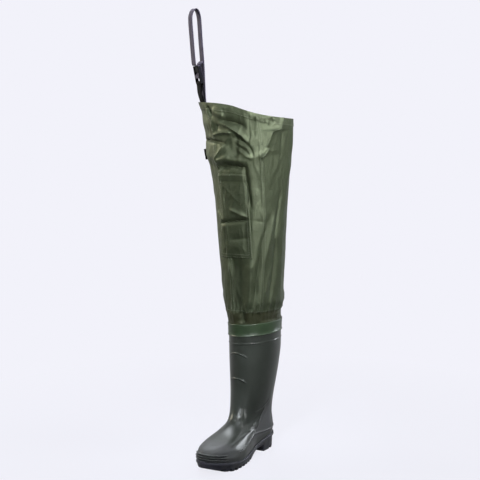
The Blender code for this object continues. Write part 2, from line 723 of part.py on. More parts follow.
def make_side_tab(finish):
    """A folded end of webbing that stands out of the leg's outer side."""
    turn = np.array([OUTER_TURN - TAB_BEHIND / (2.0 * math.pi)])
    heights = [TAB_HEIGHT + TAB_TALL * share for share in (-0.5, 0.0, 0.5)]
    low, root, high = (Vector(leg_surface(np.array([height]), turn)[0]) for height in heights)
    up = (high - low).normalized()
    side = up.cross(outer_direction(TAB_BEHIND)).normalized()
    out = side.cross(up)
    frame = Matrix((out, side, up)).transposed().to_4x4()
    frame.translation = root + out * (TAB_REACH / 2.0 + 4 * GAP)
    bm = bmesh.new()
    bmesh.ops.create_cube(bm, size=1.0, matrix=frame @ Matrix.Diagonal((TAB_REACH, TAB_THICK, TAB_TALL, 1.0)))
    outer_edges = [e for e in bm.edges if all((v.co - frame.translation).dot(out) > 0 for v in e.verts)]
    upright = [e for e in outer_edges if abs((e.verts[0].co - e.verts[1].co).z) > TAB_TALL / 2.0]
    bmesh.ops.bevel(bm, geom=upright, offset=TAB_THICK * 0.42, segments=3, affect="EDGES", profile=0.5)
    return new_object("side_tab", bm, finish)


def clear_scene():
    for old in list(bpy.data.objects):
        bpy.data.objects.remove(old)


def main():
    clear_scene()
    boot_green = finish_of("boot_pvc", (0.030, 0.040, 0.028), 0.35)
    sole_black = finish_of("sole_pvc", (0.045, 0.046, 0.055), 0.55)
    felt_grey = finish_of("insole_felt", (0.30, 0.30, 0.28), 0.9)
    tape_green = finish_of("joint_tape", (0.075, 0.125, 0.072), 0.45)
    nylon_olive = finish_of("coated_nylon", (0.070, 0.085, 0.045), 0.48)
    web_grey = finish_of("grey_webbing", (0.16, 0.155, 0.17), 0.75)
    web_black = finish_of("black_webbing", (0.022, 0.022, 0.025), 0.75)
    buckle_black = finish_of("buckle_plastic", (0.018, 0.018, 0.020), 0.35)
    wader = bpy.data.objects.new("wader", None)
    bpy.context.scene.collection.objects.link(wader)
    pieces = (
        make_outsole(sole_black),
        make_boot_upper(boot_green),
        make_insole(felt_grey),
        make_joint_band(tape_green),
        make_leg(nylon_olive),
        make_side_pocket(nylon_olive),
        make_belt_strap(web_grey),
        make_buckle_web(web_black),
        make_strap_buckle(buckle_black),
        make_side_tab(web_black),
    )
    for piece in pieces:
        piece.parent = wader


main()
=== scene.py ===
"""Looks of one thigh wader for the right leg: moulded boot, welded joint, creased cloth leg, belt strap.

Metres, +Z up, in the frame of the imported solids: the toe points along -Y and the outer side is -X.
Angles round the leg are degrees from its outer side, so 60 is the front and 150 the inner side.
"""

import math
from collections import namedtuple

import bmesh
import bpy
import numpy as np
from bpy.props import FloatProperty, FloatVectorProperty, IntProperty, PointerProperty
from mathutils import Matrix, Vector, noise


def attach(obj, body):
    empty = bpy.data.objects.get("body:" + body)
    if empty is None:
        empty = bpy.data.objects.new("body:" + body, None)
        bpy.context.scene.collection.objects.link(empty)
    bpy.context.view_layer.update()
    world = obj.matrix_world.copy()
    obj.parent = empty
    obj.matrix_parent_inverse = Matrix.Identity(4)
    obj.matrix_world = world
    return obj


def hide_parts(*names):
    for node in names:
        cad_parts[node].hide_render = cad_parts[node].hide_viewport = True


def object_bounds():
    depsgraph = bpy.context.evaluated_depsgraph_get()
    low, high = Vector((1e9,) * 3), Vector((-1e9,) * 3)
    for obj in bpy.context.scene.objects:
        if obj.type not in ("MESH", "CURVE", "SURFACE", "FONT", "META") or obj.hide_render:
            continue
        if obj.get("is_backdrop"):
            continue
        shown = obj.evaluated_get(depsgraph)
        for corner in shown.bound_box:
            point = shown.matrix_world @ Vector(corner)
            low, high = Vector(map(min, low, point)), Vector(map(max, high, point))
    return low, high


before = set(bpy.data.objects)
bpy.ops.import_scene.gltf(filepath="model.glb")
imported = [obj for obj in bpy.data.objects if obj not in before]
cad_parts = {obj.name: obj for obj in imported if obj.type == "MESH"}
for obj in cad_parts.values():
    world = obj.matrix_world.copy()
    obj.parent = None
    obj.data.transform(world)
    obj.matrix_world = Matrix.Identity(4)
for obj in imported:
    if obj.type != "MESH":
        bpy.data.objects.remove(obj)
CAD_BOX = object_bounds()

bl_info = {
    "name": "Thigh Wader Looks",
    "version": (1, 0, 0),
    "blender": (4, 5, 0),
    "location": "View3D > Sidebar > Wader",
    "description": "Dresses the packed thigh wader in moulded boot, creased coated cloth and webbing",
    "category": "Object",
}

FRAME_PIXELS = 480
SENSOR = 36.0
GAP = 0.0003
TINY = 1e-5
SMOOTH_ANGLE = 50.0

# A name that ends in EASE holds the two places between which something goes from none to full.

# Boot: a row for each loop round it, from the feather line on the sole up to the collar
BOOT_HEIGHT = 0.300
TOE_SHIFT = 0.003
TOE_RIB_EASE = (-0.196, -0.212)
RIB_SLOPE = 0.14
RIB_TOP = 0.30
TOE_SATIN = 0.90
TOE_SATIN_EASE = (-0.160, -0.196)
BootLoop = namedtuple(
    "BootLoop",
    "back_y back_z front_y front_z heel_half fore_half heel_round toe_round toe_square toe_shift sag",
)
BOOT_LOOPS = (
    BootLoop(0.0565, 0.036, -0.2325, 0.0320, 0.0350, 0.0470, 0.15, 0.32, 2.4, 1.00, 0.0160),
    BootLoop(0.0595, 0.047, -0.2340, 0.0400, 0.0363, 0.0480, 0.15, 0.32, 2.4, 1.00, 0.0160),
    BootLoop(0.0607, 0.059, -0.2320, 0.0480, 0.0368, 0.0468, 0.16, 0.33, 2.4, 1.00, 0.0145),
    BootLoop(0.0602, 0.070, -0.2250, 0.0555, 0.0367, 0.0435, 0.18, 0.31, 2.5, 0.95, 0.0105),
    BootLoop(0.0590, 0.080, -0.2100, 0.0610, 0.0366, 0.0390, 0.20, 0.35, 2.4, 0.85, 0.0055),
    BootLoop(0.0580, 0.089, -0.1840, 0.0635, 0.0367, 0.0342, 0.23, 0.41, 2.2, 0.65, 0.0020),
    BootLoop(0.0575, 0.098, -0.1520, 0.0680, 0.0372, 0.0322, 0.27, 0.46, 2.0, 0.40, 0.0000),
    BootLoop(0.0572, 0.109, -0.1215, 0.0770, 0.0385, 0.0328, 0.32, 0.50, 2.0, 0.20, 0.0000),
    BootLoop(0.0578, 0.124, -0.0980, 0.0935, 0.0407, 0.0365, 0.38, 0.50, 2.0, 0.08, 0.0000),
    BootLoop(0.0605, 0.143, -0.0838, 0.1215, 0.0440, 0.0422, 0.44, 0.50, 2.0, 0.00, 0.0000),
    BootLoop(0.0672, 0.172, -0.0755, 0.1630, 0.0487, 0.0480, 0.48, 0.50, 2.0, 0.00, 0.0000),
    BootLoop(0.0762, 0.214, -0.0715, 0.2125, 0.0540, 0.0540, 0.50, 0.50, 2.0, 0.00, 0.0000),
    BootLoop(0.0822, 0.258, -0.0703, 0.2580, 0.0569, 0.0569, 0.50, 0.50, 2.0, 0.00, 0.0000),
    BootLoop(0.0820, BOOT_HEIGHT, -0.0712, BOOT_HEIGHT, 0.0573, 0.0573, 0.50, 0.50, 2.0, 0.00, 0.0),
)
PlanStation = namedtuple("PlanStation", "share widening shift sag")
FOOT_PLAN = (
    PlanStation(0.00, 0.00, 0.00, 0.00),
    PlanStation(0.16, 0.00, 0.00, 0.02),
    PlanStation(0.36, -0.08, -0.20, 0.55),
    PlanStation(0.52, 0.50, -0.15, 0.92),
    PlanStation(0.67, 1.00, 0.00, 1.00),
    PlanStation(0.82, 1.00, 0.35, 0.62),
    PlanStation(1.00, 0.90, 1.00, 0.00),
)
# Stretches of the boot from row to row, with the loops of points that each gets
BootStretch = namedtuple("BootStretch", "first last loops")
BOOT_STRETCHES = (BootStretch(0, 3, 56), BootStretch(3, 10, 90), BootStretch(10, len(BOOT_LOOPS) - 1, 92))
BOOT_INNER_STEP = 6

# Lines moulded on the boot. Side lines run in y and z on both sides, front lines in x and z
MouldedLine = namedtuple("MouldedLine", "height half_width points")
SIDE_LINES = (
    MouldedLine(0.0011, 0.0011, ((-0.004, 0.126), (-0.016, 0.119), (-0.036, 0.1105), (-0.058, 0.107))),
    MouldedLine(0.0013, 0.0012, ((-0.020, 0.110), (-0.034, 0.092), (-0.047, 0.073), (-0.072, 0.056),
                                 (-0.107, 0.044), (-0.150, 0.038))),
    MouldedLine(0.0014, 0.0012, ((-0.066, 0.0555), (-0.045, 0.0545), (-0.020, 0.0505), (0.012, 0.0500),
                                 (0.061, 0.0560))),
)
FRONT_LINES = (
    MouldedLine(-0.0011, 0.0028, ((0.0170, 0.119), (0.0180, 0.113), (0.0205, 0.096), (0.0260, 0.082),
                                  (0.0340, 0.069))),
)
FRONT_LINE_EASE = (-0.050, -0.065)
LINE_SPACING = 0.004
SHIN_ARC_RADIUS = 0.040
SHIN_ARC_HALF_TURN = math.radians(44.0)
SHIN_ARC_FADE = 0.7
SHIN_ARC_OFFSET = -0.008
SHIN_ARC_TOPS = (0.2455, 0.1860)
# Front edge of the satin quarter, as (height, y)
SATIN_LINE = (
    (0.040, -0.098), (0.056, -0.072), (0.073, -0.047), (0.092, -0.034), (0.110, -0.018), (0.130, 0.010)
)
SATIN_EDGE_EASE = (-0.001, 0.002)
SATIN_FOOT_EASE = (0.040, 0.046)
SATIN_TOP_EASE = (0.108, 0.118)

# Sole
SoleStation = namedtuple("SoleStation", "y bottom")
SOLE_PROFILE = (
    SoleStation(0.064, 0.0070),
    SoleStation(0.052, 0.0000),
    SoleStation(-0.0135, 0.0000),
    SoleStation(-0.0150, 0.0160),
    SoleStation(-0.0450, 0.0150),
    SoleStation(-0.0780, 0.0040),
    SoleStation(-0.0900, 0.0000),
    SoleStation(-0.1720, 0.0000),
    SoleStation(-0.2040, 0.0040),
    SoleStation(-0.2400, 0.0150),
)
SOLE_TURNS = 80
SOLE_BREAK_ROOM = 0.13
SOLE_SMOOTH_ANGLE = 40.0
SOLE_SOFT_EDGE = 0.0005
SOLE_LEDGE = 0.0026
SOLE_RAND = 0.0075
SOLE_STEP = 0.0016
SOLE_DRAFT = 0.0012
# Section of the rand: out from the ledge's edge and down from the sole's top
RimStep = namedtuple("RimStep", "out down")
SOLE_RIM = (
    RimStep(-0.0010, 0.0),
    RimStep(-0.0003, 0.0004),
    RimStep(0.0, 0.0012),
    RimStep(0.0004, SOLE_RAND * 0.72),
    RimStep(0.0001, SOLE_RAND * 0.86),
    RimStep(-0.0005, SOLE_RAND * 0.94),
)
# The lower edge is rolled in at the toe, by these shares of the roll inward and up
SOLE_EDGE = 0.0003
SOLE_ROLL = 0.0075
SOLE_ROLL_EASE = (-0.175, -0.214)
SOLE_ROLL_ARC = ((0.0, 1.0), (0.3, 0.3), (1.0, 0.0))
HEEL_SPUR = 0.0032
HEEL_SPUR_EASE = (0.0, 0.10)
LUG_DEPTH = 0.0058
LUG_GROOVE = 0.0080
LUG_ROOT = 0.0016
LUG_BELOW = 0.02
LUG_SLANT = math.radians(14.0)
LUG_REACH = 0.080
SPINE_HALF = 0.009
SPINE_SHIFT_EASE = (-0.15, -0.23)
LugRow = namedtuple("LugRow", "first pitch count stagger")
LUG_ROWS = (LugRow(-0.099, -0.0165, 8, 0.5), LugRow(0.010, 0.0165, 3, 0.0))

# Leg
OUTER_ANGLE = 241.5
RIM_MIDDLE = 0.813
RIM_RISE = 0.0195
RIM_FALL = 0.0070
BAND_LOW = 0.286
BAND_HIGH = 0.315
CUFF_TOP = 0.343
BAND_TILT = 0.0042
BAND_HIGH_SIDE = 150.0
BAND_TURNS = 240
BAND_SWAY = 0.10
BAND_WAVES = 3.0
BAND_WAVE_SLANT = 40.0
# Section of the joint tape: its rise is a share of the tape's thickness
BandStep = namedtuple("BandStep", "height rise")
BAND_PROFILE = (
    BandStep(BAND_LOW, 0.0002),
    BandStep(BAND_LOW + 0.0003, 1.3),
    BandStep(BAND_LOW + 0.0010, 1.8),
    BandStep(BAND_LOW + 0.0018, 1.5),
    BandStep(BAND_LOW + 0.0026, 1.0),
    BandStep(BOOT_HEIGHT - 0.004, 1.0),
    BandStep(BOOT_HEIGHT, 1.08),
    BandStep(BOOT_HEIGHT + 0.004, 1.0),
    BandStep(BAND_HIGH - 0.0030, 1.0),
    BandStep(BAND_HIGH - 0.0008, 0.9),
    BandStep(BAND_HIGH - 0.0002, 0.6),
    BandStep(BAND_HIGH, 0.1),
)
LegLoop = namedtuple("LegLoop", "height lean behind half_x half_y")
LEG_LOOPS = (
    LegLoop(0.3000, 0.0000, 0.0054, 0.0573, 0.0766),
    LegLoop(0.3150, 0.0000, 0.0048, 0.0587, 0.0768),
    LegLoop(0.3350, 0.0010, 0.0020, 0.0625, 0.0770),
    LegLoop(0.3520, 0.0020, 0.0010, 0.0645, 0.0780),
    LegLoop(0.3680, 0.0015, 0.0010, 0.0690, 0.0800),
    LegLoop(0.4390, 0.0020, 0.0000, 0.0755, 0.0815),
    LegLoop(0.5250, 0.0030, 0.0000, 0.0820, 0.0840),
    LegLoop(0.6240, 0.0055, 0.0000, 0.0900, 0.0870),
    LegLoop(0.6800, 0.0075, 0.0000, 0.0970, 0.0930),
    LegLoop(0.7100, 0.0110, 0.0000, 0.1025, 0.0975),
    LegLoop(0.7500, 0.0105, 0.0000, 0.1040, 0.0985),
    LegLoop(0.7800, 0.0135, 0.0000, 0.1070, 0.1000),
    LegLoop(0.8350, 0.0175, 0.0000, 0.1080, 0.1005),
)
HemStation = namedtuple("HemStation", "outer rise")
HEM_CURVE = (
    HemStation(-1.00, -1.00),
    HemStation(-0.50, -0.68),
    HemStation(-0.16, -0.36),
    HemStation(0.16, 0.16),
    HemStation(0.40, 0.56),
    HemStation(0.80, 0.90),
    HemStation(1.00, 1.00),
)

# Folds of the leg, each from one angle and height to another: a ridge rises, a trough falls.
# Bow is how far the middle swings to the left of the way it runs, width the reach to each side.
Fold = namedtuple("Fold", "angle_a height_a angle_b height_b bow width rise")
STRAP_FAN = (
    Fold(50, 0.788, 86, 0.774, 0.0030, 0.0084, -0.0085),
    Fold(50, 0.785, 87, 0.737, 0.0080, 0.0062, 0.0078),
    Fold(32, 0.823, 39, 0.796, 0.0000, 0.0040, -0.0045),
    Fold(40, 0.812, 60, 0.797, 0.0000, 0.0125, 0.0044),
    Fold(28, 0.814, 38, 0.790, 0.0000, 0.0042, 0.0036),
    Fold(39, 0.795, 36, 0.753, 0.0000, 0.0042, 0.0036),
    Fold(47, 0.781, 43, 0.762, 0.0000, 0.0060, -0.0040),
    Fold(58, 0.817, 58, 0.795, 0.0000, 0.0045, -0.0016),
)
SECOND_FAN = (
    Fold(1, 0.741, 56, 0.736, 0.0040, 0.0042, -0.0078),
    Fold(35, 0.753, 67, 0.761, 0.0048, 0.0055, 0.0060),
    Fold(55, 0.734, 38, 0.699, 0.0000, 0.0045, 0.0056),
    Fold(35, 0.696, 62, 0.709, 0.0000, 0.0070, 0.0030),
    Fold(71, 0.762, 71, 0.704, 0.0000, 0.0150, -0.0060),
    Fold(67, 0.750, 94, 0.713, 0.0090, 0.0046, -0.0060),
    Fold(58, 0.742, 72, 0.700, 0.0000, 0.0240, -0.0045),
    Fold(68, 0.741, 89, 0.726, 0.0000, 0.0050, 0.0030),
    Fold(68, 0.733, 90, 0.710, 0.0044, 0.0042, -0.0042),
    Fold(71, 0.725, 94, 0.701, 0.0000, 0.0060, 0.0034),
)
POCKET_FOLDS = (
    Fold(37, 0.677, 85, 0.679, 0.0050, 0.0070, -0.0105),
    Fold(34, 0.693, 88, 0.696, 0.0050, 0.0120, 0.0050),
    Fold(81, 0.687, 88, 0.588, -0.0013, 0.0064, -0.0070),
    Fold(31, 0.551, 84, 0.563, 0.0014, 0.0042, -0.0080),
    Fold(52, 0.586, 82, 0.569, 0.0000, 0.0060, 0.0042),
    Fold(23, 0.578, 40, 0.556, 0.0000, 0.0060, 0.0035),
    Fold(84, 0.564, 114, 0.556, 0.0000, 0.0040, -0.0008),
    Fold(42, 0.643, 72, 0.599, 0.0000, 0.0080, 0.0012),
    Fold(47, 0.644, 44, 0.565, 0.0000, 0.0036, -0.0020),
    Fold(42, 0.548, 41, 0.476, 0.0000, 0.0036, -0.0034),
    Fold(49, 0.514, 87, 0.521, 0.0000, 0.0090, -0.0026),
)
FRONT_FOLDS = (
    Fold(64, 0.474, 64, 0.339, 0.0000, 0.0260, -0.0065),
    Fold(52, 0.476, 54, 0.340, 0.0000, 0.0120, -0.0066),
    Fold(87, 0.476, 84, 0.345, 0.0000, 0.0130, 0.0050),
    Fold(44, 0.462, 53, 0.415, 0.0000, 0.0070, 0.0045),
    Fold(54, 0.425, 49, 0.355, 0.0000, 0.0070, 0.0050),
    Fold(114, 0.558, 95, 0.362, -0.0030, 0.0085, -0.0048),
    Fold(133, 0.600, 113, 0.460, -0.0015, 0.0080, 0.0022),
    Fold(125, 0.447, 113, 0.375, 0.0000, 0.0070, 0.0018),
    Fold(132, 0.514, 125, 0.366, 0.0049, 0.0080, -0.0048),
    Fold(72, 0.350, 71, 0.300, 0.0000, 0.0090, -0.0085),
    Fold(90, 0.809, 89, 0.744, 0.0000, 0.0048, -0.0030),
    Fold(96, 0.800, 95, 0.750, 0.0000, 0.0080, -0.0036),
    Fold(138, 0.797, 132, 0.767, 0.0000, 0.0045, 0.0026),
    Fold(134, 0.770, 118, 0.765, 0.0000, 0.0042, 0.0026),
    Fold(120, 0.768, 112, 0.728, 0.0000, 0.0045, 0.0028),
    Fold(115, 0.726, 103, 0.704, 0.0020, 0.0048, 0.0032),
    Fold(112, 0.715, 102, 0.703, 0.0000, 0.0042, 0.0032),
    Fold(120, 0.796, 123, 0.782, 0.0000, 0.0030, -0.0040),
)
INNER_FOLDS = (
    Fold(140, 0.774, 137, 0.699, 0.0000, 0.0090, -0.0030),
    Fold(141, 0.629, 130, 0.514, 0.0000, 0.0090, -0.0040),
    Fold(188, 0.790, 172, 0.650, 0.0000, 0.0120, -0.0035),
)
BACK_FOLDS = (
    Fold(-120, 0.800, -90, 0.600, 0.010, 0.0120, 0.0055),
    Fold(-60, 0.790, -100, 0.620, -0.008, 0.0100, -0.0050),
    Fold(-150, 0.700, -120, 0.500, 0.006, 0.0120, 0.0050),
    Fold(-30, 0.660, -60, 0.500, -0.006, 0.0100, 0.0050),
    Fold(-80, 0.580, -28, 0.560, 0.003, 0.0065, -0.0050),
    Fold(-140, 0.565, -85, 0.555, 0.003, 0.0065, -0.0050),
    Fold(-110, 0.540, -100, 0.370, 0.000, 0.0120, 0.0050),
    Fold(-60, 0.520, -65, 0.350, 0.000, 0.0100, -0.0045),
    Fold(-165, 0.500, -150, 0.350, 0.000, 0.0110, 0.0045),
    Fold(-15, 0.470, -25, 0.350, 0.000, 0.0100, -0.0035),
)
PLACED_FOLDS = STRAP_FAN + SECOND_FAN + POCKET_FOLDS + FRONT_FOLDS + INNER_FOLDS + BACK_FOLDS
# Edges that the slack cloth turns at, as (angle, height), and how flat it lies from each to the next
LegEdge = namedtuple("LegEdge", "flatness places")
LEG_EDGES = (
    LegEdge(0.75, ((36, 0.832), (54, 0.815), (57, 0.801), (51, 0.788), (58, 0.774), (64, 0.760), (56, 0.738),
                   (57, 0.722), (60, 0.709), (50, 0.697), (41, 0.685), (41, 0.666), (44, 0.620), (41, 0.555),
                   (40, 0.510), (43, 0.475), (50, 0.420), (49, 0.350))),
    LegEdge(0.85, ((89, 0.810), (90, 0.740), (86, 0.700), (87, 0.660), (91, 0.590), (90, 0.550), (90, 0.475),
                   (85, 0.360))),
    LegEdge(0.60, ((138, 0.800), (137, 0.787), (132, 0.7685), (120, 0.765), (114, 0.744), (113, 0.7226),
                   (104.5, 0.7065), (105, 0.690), (107, 0.620), (109, 0.570), (108, 0.515), (104, 0.440),
                   (101, 0.350))),
    LegEdge(0.30, ((168, 0.820), (160, 0.700), (150, 0.600), (148, 0.500), (152, 0.350))),
    LegEdge(0.50, ((215, 0.820), (218, 0.600), (214, 0.350))),
    LegEdge(0.50, ((262, 0.820), (258, 0.600), (262, 0.350))),
    LegEdge(0.05, ((318, 0.820), (312, 0.600), (316, 0.350))),
)
# The hem's outer corner stands out under the strap
HEM_FLARE = 0.0056
FLARE_ANGLE = 5.0
FLARE_REACH = 28.0
FLARE_FOOT = 0.797
# The cloth swells over the cuff, most at the inner side
OVERHANG = 0.0004
OVERHANG_LEAN = 0.0022
OVERHANG_FOOT_EASE = (CUFF_TOP - 0.001, CUFF_TOP + 0.003)
OVERHANG_TOP_EASE = (0.36, 0.40)
CUFF_EASE = (CUFF_TOP - 0.001, CUFF_TOP + 0.004)
RELIEF_FOOT_EASE = (BAND_HIGH + 0.001, BAND_HIGH + 0.010)
CREASE_ROUND = 0.5
# Trough depths over which the painted fold shade goes from none to full
PAINTED_FOLD_SHADE_EASE = (0.0, 0.0125)
FOLD_START_EASE = (-0.06, 0.22)
FOLD_END_EASE = (0.78, 1.06)
# Crinkles, and what their rise gains in the slack cloth of the thigh
Crinkle = namedtuple("Crinkle", "scale rise thigh_gain")
CRINKLES = (Crinkle((26.0, 26.0, 13.0), 0.0022, 0.0008), Crinkle((72.0, 72.0, 24.0), 0.0015, 0.0006))
CRINKLE_MIDDLE = 0.35
THIGH_EASE = (0.62, 0.72)
# Points lie closer together at the front and near the hem
FRONT_ANGLE = 80.0
FRONT_CROWDING = 0.45
TOP_CROWDING = 0.30
LEG_INNER_STEP = 3
WEAVE_HEIGHT = 0.6
# Rows of pleats, each pleat a little different in its place, lean and length
Pleats = namedtuple("Pleats", "count wander lean start tall spread width rise")
GATHERS = Pleats(26, 4.0, 4.0, 0.004, 0.030, 0.014, 0.0038, 0.0019)
HEM_PUCKERS = Pleats(13, 0.6, 1.5, 0.004, 0.016, 0.008, 0.0022, 0.0013)
PUCKER_ANGLES = (99.0, 124.0)

# Seams, as (angle, height)
FRONT_SEAM = ((101, 0.800), (104.5, 0.705), (106.5, 0.632), (108.5, 0.575), (110, 0.500), (108, 0.346))
SIDE_SEAM = ((31, 0.822), (37, 0.752), (38.5, 0.690), (43, 0.560), (47.5, 0.475), (49, 0.346))
BACK_SEAM = ((-95, 0.790), (-95, 0.346))
SEAMS = (FRONT_SEAM, SIDE_SEAM, BACK_SEAM)
SEAM_EDGE_EASE = (0.8, 1.3)
HEM_EDGE = 0.0015

# Stitches: a stitch is a short thread of rings, each given by its place along it and its swelling
STITCH_SIDES = 6
STITCH_RINGS = ((-0.5, 0.25), (-0.32, 0.9), (0.0, 1.0), (0.32, 0.9), (0.5, 0.25))
STITCH_AHEAD = 0.0005
STITCH_LIFT = 0.5
SEAM_POINTS = 260
SEAM_ASIDE = 0.62
HEM_STITCH = 0.003
CUFF_STITCH = 0.004

# Pocket corners, as angles at its lower and upper edge
POCKET_LOW = 0.472
POCKET_HIGH = 0.667
POCKET_TALL = POCKET_HIGH - POCKET_LOW
POCKET_WIDE = 0.105
POCKET_FRONT = (91.02, 81.66)
POCKET_REAR = (24.78, 38.46)
# The pocket's cloth is a copy of the leg's with its colours darkened by this share, as painted shade
POCKET_PAINTED_SHADE = 0.78
POCKET_ROWS = 110
POCKET_COLUMNS = 90
POCKET_EDGE = 0.0009
POCKET_EDGE_EASE = (0.0, 0.0025)
POCKET_HEM = 0.0006
POCKET_HEM_EASE = (POCKET_TALL - 0.016, POCKET_TALL - 0.0145)
POCKET_BULGE = 0.0012
POCKET_BULGE_EASE = (0.010, 0.030)
POCKET_UNDER = 0.0005
POCKET_INSETS = (0.0030, 0.0095)
POCKET_STITCH_LIFT = 0.6
POCKET_STITCH_POINTS = 200

# Strap
STRAP_AHEAD = 10.0
STRAP_TURN = 20.0
STRAP_TWIST = math.radians(4.0)
STRAP_TWIST_EASE = (0.0, 0.045)
STRAP_SPACING = 0.0025
WEAVE_SPACING = 0.0010
WEB_SPACING = 0.0012
WEB_NARROWER = 0.001
WEB_FOOT = 0.004
# Webbing thins towards its edges: in from the edge, and the share of its thickness there
WEB_EDGE = ((0.0, 0.0), (0.0002, 0.6), (0.0009, 0.95))
# Where webbing passes the corners of a bar, as shares of its distance from the bar
BAR_CORNER = 0.72
BAR_BEND = 0.80
BAR_ROUND = 0.71
# The strap's way through the buckle: on which side of its bars and at which level, moved out and up
WeaveStep = namedtuple("WeaveStep", "side out level up")
STRAP_WEAVE = (
    WeaveStep("behind", 0.0009, "plate_top", 0.0008),
    WeaveStep("behind", 0.0, "plate_top", -0.0030),
    WeaveStep("behind", 0.0, "plate_foot", 0.0005),
    WeaveStep("within", 0.0, "slot", 0.0),
    WeaveStep("front", 0.0, "bar", 0.0005),
    WeaveStep("front_corner", 0.0, "bar_corner", 0.0),
    WeaveStep("within", 0.0, "bar_foot", 0.0),
    WeaveStep("behind_corner", 0.0, "bar_corner", 0.0),
    WeaveStep("behind", -0.0010, "bar", 0.0020),
    WeaveStep("tail", 0.0, "plate_foot", 0.0),
    WeaveStep("tail", 0.0, "plate_top", -0.0020),
    WeaveStep("tail", -0.0012, "plate_top", 0.0030),
    WeaveStep("tail", -0.0080, "plate_top", 0.0085),
)
# Strap's middle line up to the buckle: (outward from the wall's inner face at the hem, up from the hem)
STRAP_ROUTE = (
    (-0.0102, -0.0430),
    (-0.0092, -0.0250),
    (-0.0066, -0.0040),
    (-0.0045, 0.0200),
    (-0.0032, 0.0440),
    (-0.0014, 0.0860),
    (0.0028, 0.1415),
    (0.0062, 0.1900),
    (0.0103, 0.2055),
    (0.0170, 0.2115),
    (0.0236, 0.2055),
    (0.0275, 0.1900),
    (0.0242, 0.1415),
    (0.0208, 0.1000),
    (0.0183, 0.0838),
)
WEB_ROOT = ((-0.0080, -0.0430), (-0.0052, -0.0200), (0.0006, 0.0010), (0.0062, 0.0220))
BUCKLE_MIDDLE = (0.0092, 0.0620)
BUCKLE_LEAN = math.radians(11.0)
BUCKLE_TAPER = 0.7
BUCKLE_STEP = 0.0007
BUCKLE_SOFT_EDGE = 0.0007
TAB_BEHIND = -15.0
TAB_HEIGHT = 0.707
TAB_LEVELS = 9
TAB_ROUND_START = 0.3
TAB_ROUND_POINTS = 7
TAB_SLIT_ROOT = 0.15
TAB_SLIT_END = 0.10

# Floor and room
FLOOR_RINGS = (0.3, 0.6, 0.9, 1.2)
FLOOR_TURNS = 64
FLOOR_FADE = (0.30, 1.00)
ROOM_COLOUR = (0.95, 0.97, 1.0)
ROOM_EASE = (0.05, -0.85)

# Soft panels of light, each turned so many degrees to the right of the camera
Lamp = namedtuple("Lamp", "name turn height distance wide tall power aim spread colour")
WHITE = (1.0, 1.0, 1.0)
WARM = (1.0, 0.94, 0.74)
COOL = (0.90, 0.95, 1.0)
LAMPS = (
    Lamp("key_panel", 21.0, 1.30, 2.2, 0.70, 0.90, 4.7, 0.91, 30.0, WHITE),
    Lamp("left_panel", -110.0, 1.30, 2.2, 0.60, 0.90, 2.0, 0.78, 34.0, WARM),
    Lamp("right_panel", 80.0, 1.75, 1.4, 0.60, 0.60, 1.40, 0.84, 46.0, WHITE),
    Lamp("rear_panel", 135.0, 1.80, 1.8, 0.60, 0.60, 0.95, 0.90, 80.0, COOL),
    Lamp("front_panel", -45.0, 1.75, 1.4, 0.60, 0.60, 3.6, 0.05, 180.0, WHITE),
    Lamp("fan_panel", -44.0, 1.45, 2.0, 0.50, 0.50, 0.045, 0.80, 16.0, WHITE),
    Lamp("boot_panel", -16.0, 1.50, 2.0, 0.50, 0.50, 0.52, 0.04, 14.0, COOL),
    Lamp("edge_panel", 118.0, 0.30, 1.9, 0.40, 0.50, 0.17, 0.18, 20.0, COOL),
    Lamp("top_panel", 15.0, 2.30, 0.8, 1.00, 0.80, 10.5, 0.20, 180.0, COOL),
    Lamp("back_panel", -165.0, 2.00, 1.3, 1.20, 1.00, 24.0, 0.20, 180.0, COOL),
)


def length_property(name, description, default):
    return FloatProperty(name=name, description=description, default=default, unit="LENGTH")


def share_property(name, description, default):
    return FloatProperty(name=name, description=description, default=default)


def colour_property(name, description, default):
    return FloatVectorProperty(
        name=name, description=description, default=default, size=3, subtype="COLOR", min=0.0, max=1.0
    )


class WaderBootSizes(bpy.types.PropertyGroup):
    """Sizes of the moulded boot."""

    wall: length_property("Wall", "Thickness of the moulded wall", 0.0026)
    turns: IntProperty(name="Turns", description="Points round each loop", default=320)
    rib_count: IntProperty(name="Toe ribs", description="Ribs over the toe", default=3)
    rib_first: share_property("First rib", "Loop place of the lowest rib", 0.42)
    rib_pitch: share_property("Rib pitch", "Loop places from rib to rib", 0.62)
    rib_height: length_property("Rib height", "Rise of a rib", 0.0028)
    bead_level: length_property("Bead level", "Height of the rim bead", 0.268)
    bead_height: length_property("Bead height", "Rise of the bead", 0.0009)
    bead_half: length_property("Bead half", "Half the bead's width", 0.0013)
    arc_height: length_property("Arc height", "Rise of the shin arcs", 0.0013)
    arc_half: length_property("Arc half", "Half a shin arc's width", 0.0011)


class WaderLegSizes(bpy.types.PropertyGroup):
    """Sizes of the cloth leg, its pocket and its seams."""

    wall: length_property("Cloth", "Thickness of the coated cloth", 0.0010)
    turns: IntProperty(name="Turns", description="Points round the leg", default=264)
    rows: IntProperty(name="Rows", description="Rows of points up the leg", default=250)
    hem_width: length_property("Hem width", "Width of the thigh hem", 0.018)
    hem_step: length_property("Hem step", "Rise of the hem's edge", 0.0008)
    seam_half: length_property("Seam half", "Half a seam's width", 0.0045)
    seam_rise: length_property("Seam rise", "Rise of a felled seam", 0.0006)
    pocket_thick: length_property("Pocket", "Rise of the pocket", 0.0022)
    stitch_pitch: length_property("Stitch pitch", "From stitch to stitch", 0.0040)
    stitch_length: length_property("Stitch", "Length of a stitch", 0.0031)
    stitch_radius: length_property("Thread", "Radius of the thread", 0.00042)
    band_wall: length_property("Band", "Thickness of the joint tape", 0.0012)


